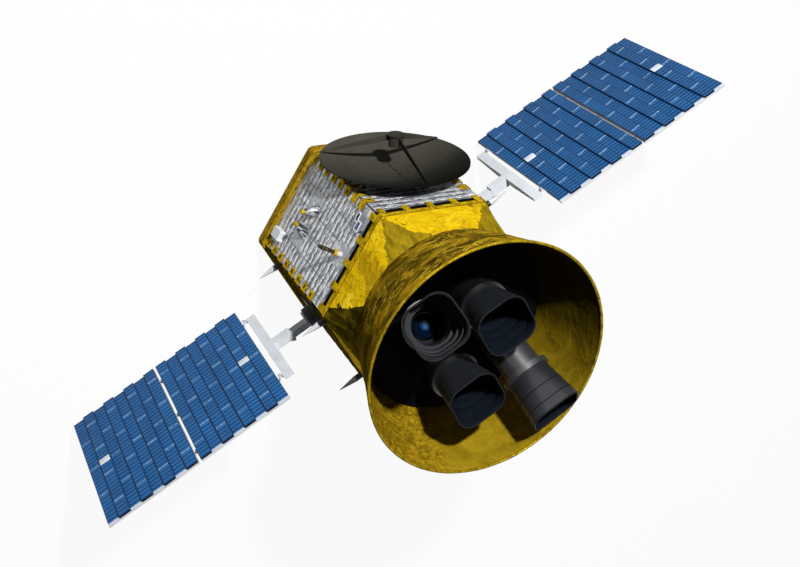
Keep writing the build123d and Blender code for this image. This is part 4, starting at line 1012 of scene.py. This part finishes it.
flatten = Matrix.Diagonal((1.0, outer_sizes[1] / outer_sizes[0], 1.0, 1.0))
frames = [
    copy_to(window_frame, "frame_copy", around_axis(KIT_FACE, SENSOR_TOP, *WINDOW_PLACE) @ flatten),
    copy_to(port_frame, "frame_copy", around_axis(KIT_FACE, SENSOR_TOP, *PORT_PLACE) @ squash),
]
for pattern in (window, port, window_frame, port_frame):
    bpy.data.objects.remove(pattern)
sensor_frames = join_all(frames, "sensor_frames")
smooth_finish(sensor_frames, 40.0, FRAME_ROUND)
fit_piece(sensor_frames, box_enamel, "white_paint", "bus")

# ---- Electronics box: a small metal box with chamfered edges, enamelled white and screwed on low
# ---- down, by the rear deck.
dress(box_enamel, "white_paint", "electronics_box")

# ---- Hold-down posts: turned black bases bolted to the gold faces, with white enamelled cones
# ---- that the folded wings rest on.
dress(dark_bracket, "dark_metal", "hold_down_bases")
dress(white_enamel, "white_paint", "hold_down_cones")

# ---- Wing drives, arms and yokes: black drive housings, then pale painted arms and yokes with
# ---- bare grey hinge cheeks beyond the yoke's bar.
YOKE_EDGE = 0.7875
CHEEK_GREY = (0.40, 0.42, 0.46)
yoke_paint = enamel("yoke_paint", (0.76, 0.795, 0.84), 0.05)
shader = next(node for node in yoke_paint.node_tree.nodes if node.type == "BSDF_PRINCIPLED")
paint = shader.inputs["Base Color"].links[0].from_socket
from_axis = combine("ABSOLUTE", split_axes(object_point(yoke_paint.node_tree))["X"])
cheek = combine("GREATER_THAN", from_axis, YOKE_EDGE)
feed(shader.inputs["Base Color"], blend(cheek, paint, CHEEK_GREY))
for side in ("left", "right"):
    dress(dark_bracket, "dark_metal", side + "_drive_housing")
    dress(yoke_paint, "white_paint", side + "_wing_arm", side + "_yoke")

# ---- Solar cells: eight strips of blue cells to a board, every other strip raised. Rows of cells
# ---- are joined in strings, with pale bus wires across the strip where one string meets the next.
INNER_START = 0.8175              # from the bus's axis to a board's first strip
OUTER_START = 1.3425
STRIP_PITCH = 0.06375
STRING_LENGTH = 0.2222
RAISED_STRING_END = 0.3579
LOW_STRING_END = 0.4704
WING_TOP = 0.92035
WING_FOOT = 0.04165
LOW_FRONT = -0.001
RAISED_FRONT = 0.008
FRONT_MARGIN = 0.0006             # a strip's side stops this short of its front and its foot
END_MARGIN = 0.0003
WIRE_HALF = (0.0023, 0.0044)      # half width of a wire, and of its soft edge
STRIP_REACH = (0.10, 0.93)        # share of a strip that a wire crosses
JOG_AT = 0.56                     # share of a strip past which its string ends are stepped
ROW_JOINT = (0.002, 0.020, 0.070)
STRIP_JOINT = (0.003, 0.016, 0.050)
STRIP_SIDE = (0.03, 0.17, 0.46)
END_SHADE_BLUE = (0.003, 0.008, 0.025)
WIRE_BLUE = (0.46, 0.70, 0.94)
CELL_TINT = (0.25, 0.6, 1.0)
WING_FIELDS = (
    # side, rows of cells in a string, jog of the wires across a strip, depth of the blue
    ("left", 8, 0.0, 1.0),
    ("right", 9, 0.004, 0.86),
)


def chance(*lot):
    """A number from 0 to 1 that stays the same over one lot of cells."""
    tree = lot[0].id_data
    key = add_node(tree, "ShaderNodeCombineXYZ", dict(enumerate(lot))).outputs[0]
    return add_node(tree, "ShaderNodeTexWhiteNoise", {"Vector": key}).outputs["Value"]


def cell_field(name, first_x, first_raised, rows, jog, deep):
    """Blue cells with dark joints between rows and strips, and pale wires where strings meet."""
    material, tree, shader = shader_start(name)
    x, y, z = split_axes(object_point(tree))
    strip = combine("SUBTRACT", combine("ABSOLUTE", x), first_x)
    strip = combine("MULTIPLY", strip, 1.0 / STRIP_PITCH)
    number = combine("FLOOR", strip)
    within = combine("FRACT", strip)
    raised = combine("GREATER_THAN", combine("FRACT", combine("MULTIPLY", number, 0.5)), 0.25)
    if first_raised:
        raised = combine("SUBTRACT", 1.0, raised)
    start = combine("MULTIPLY_ADD", raised, RAISED_STRING_END - LOW_STRING_END, LOW_STRING_END)
    along = combine("SUBTRACT", z, start)
    cell = combine("FRACT", combine("MULTIPLY_ADD", along, rows / STRING_LENGTH, 100.0))
    paler = 1.0 - deep
    shade = ramp(
        cell, (0.0, ROW_JOINT), (0.13 + 0.5 * paler, (0.004, 0.036, 0.12)),
        (0.30 + 0.3 * paler, (0.017, 0.143, 0.410)), (0.72, (0.021, 0.172, 0.490)),
        (0.86, (0.015, 0.122, 0.35)), (1.0, ROW_JOINT),
    )
    kinked = combine("MULTIPLY_ADD", combine("GREATER_THAN", within, JOG_AT), jog, along)
    string = combine("MULTIPLY_ADD", kinked, 1.0 / STRING_LENGTH, 50.5)
    batch = ramp(chance(number, combine("FLOOR", string), raised), (0.0, deep - 0.12), (1.0, deep))
    cloud = ramp(drawn_noise(tree, (9.0, 9.0, 4.5), 2.0), (0.3, 0.82), (0.7, 1.0))
    colour = blend(1.0, shade, blend(1.0, batch, cloud, "MULTIPLY"), "MULTIPLY")
    wire_chance = chance(number, combine("FLOOR", combine("ADD", string, 0.5)))
    from_end = combine("MULTIPLY", from_half(combine("FRACT", string)), STRING_LENGTH)
    wire = ramp(from_end, (WIRE_HALF[0], 1.0), (WIRE_HALF[1], 0.0))
    past = combine("GREATER_THAN", within, STRIP_REACH[0])
    span = combine("MULTIPLY", past, combine("LESS_THAN", within, STRIP_REACH[1]))
    breaks = ramp(drawn_noise(tree, (60.0, 1.0, 9.0), 2.0), (0.36, 0.45), (0.56, 1.0))
    strength = combine("MULTIPLY", ramp(wire_chance, (0.0, 0.45), (0.5, 1.0)), breaks)
    wire = combine("MULTIPLY", combine("MULTIPLY", wire, span), strength)
    colour = blend(wire, colour, WIRE_BLUE)
    from_joint = combine("MULTIPLY_ADD", raised, -0.018, combine("SUBTRACT", 0.5, from_half(within)))
    colour = blend(ramp(from_joint, (0.028, 1.0), (0.050, 0.0)), colour, STRIP_JOINT)
    below = combine("LESS_THAN", y, RAISED_FRONT - FRONT_MARGIN)
    strip_side = combine("MULTIPLY", combine("GREATER_THAN", y, LOW_FRONT + FRONT_MARGIN), below)
    edge = 1.0 - 4.0 * paler
    colour = blend(strip_side, colour, tuple(edge * channel for channel in STRIP_SIDE))
    # Painted shade: the strips' end faces are painted dark navy.
    over = combine("GREATER_THAN", z, WING_TOP - END_MARGIN)
    under = combine("LESS_THAN", z, WING_FOOT + END_MARGIN)
    surface(shader, blend(combine("MAXIMUM", over, under), colour, END_SHADE_BLUE), 0.32, 0.14)
    feed(shader.inputs["Specular Tint"], CELL_TINT)
    relief(shader, ramp(cell, (0.0, 0.0), (0.14, 1.0), (0.90, 0.9), (1.0, 0.0)), 0.0012)
    return material


for side, *looks in WING_FIELDS:
    dress(cell_field(side + "_inner_field", INNER_START, False, *looks), "cell_blue", side + "_inner_cells")
    dress(cell_field(side + "_outer_field", OUTER_START, True, *looks), "cell_blue", side + "_outer_cells")

# ---- Wing boards: honeycomb boards with pale skins, lightly speckled, that the strips of cells are
# ---- bonded to. Hinges join the two boards of a wing.
board_white = enamel("board_white", (0.80, 0.82, 0.85), 0.12, 0.6)
for side in ("left", "right"):
    dress(board_white, "board_white", side + "_inner_board", side + "_outer_board")

# ---- Sun sensors: a thin plate in pale enamel with rounded edges, glued to one raised strip of
# ---- each board.
PLATE_SIZE = (0.058, 0.044, 0.0016)
PLATE_ROUND = 0.0007
PLATE_HEIGHT = 0.474
PLATE_FRONT = 0.0081
PLATE_X = {"inner": 0.9131, "outer": 1.7569}
bpy.ops.object.select_all(action="DESELECT")
bpy.ops.mesh.primitive_cube_add(size=1.0)
sun_plate = settle("sun_plate", PLATE_SIZE)
smooth_finish(sun_plate, 30.0, PLATE_ROUND)
sun_white = enamel("sun_white", (0.80, 0.86, 0.92), 0.06)
face_front = Matrix.Rotation(math.radians(-90.0), 4, "X")
for side, sign in (("left", -1), ("right", 1)):
    for board, plate_x in PLATE_X.items():
        place = Matrix.Translation((sign * plate_x, PLATE_FRONT, PLATE_HEIGHT)) @ face_front
        plate = copy_to(sun_plate, f"{side}_{board}_sun_sensor", place)
        fit_piece(plate, sun_white, "white_paint", f"{side}_{board}_panel")
bpy.data.objects.remove(sun_plate)
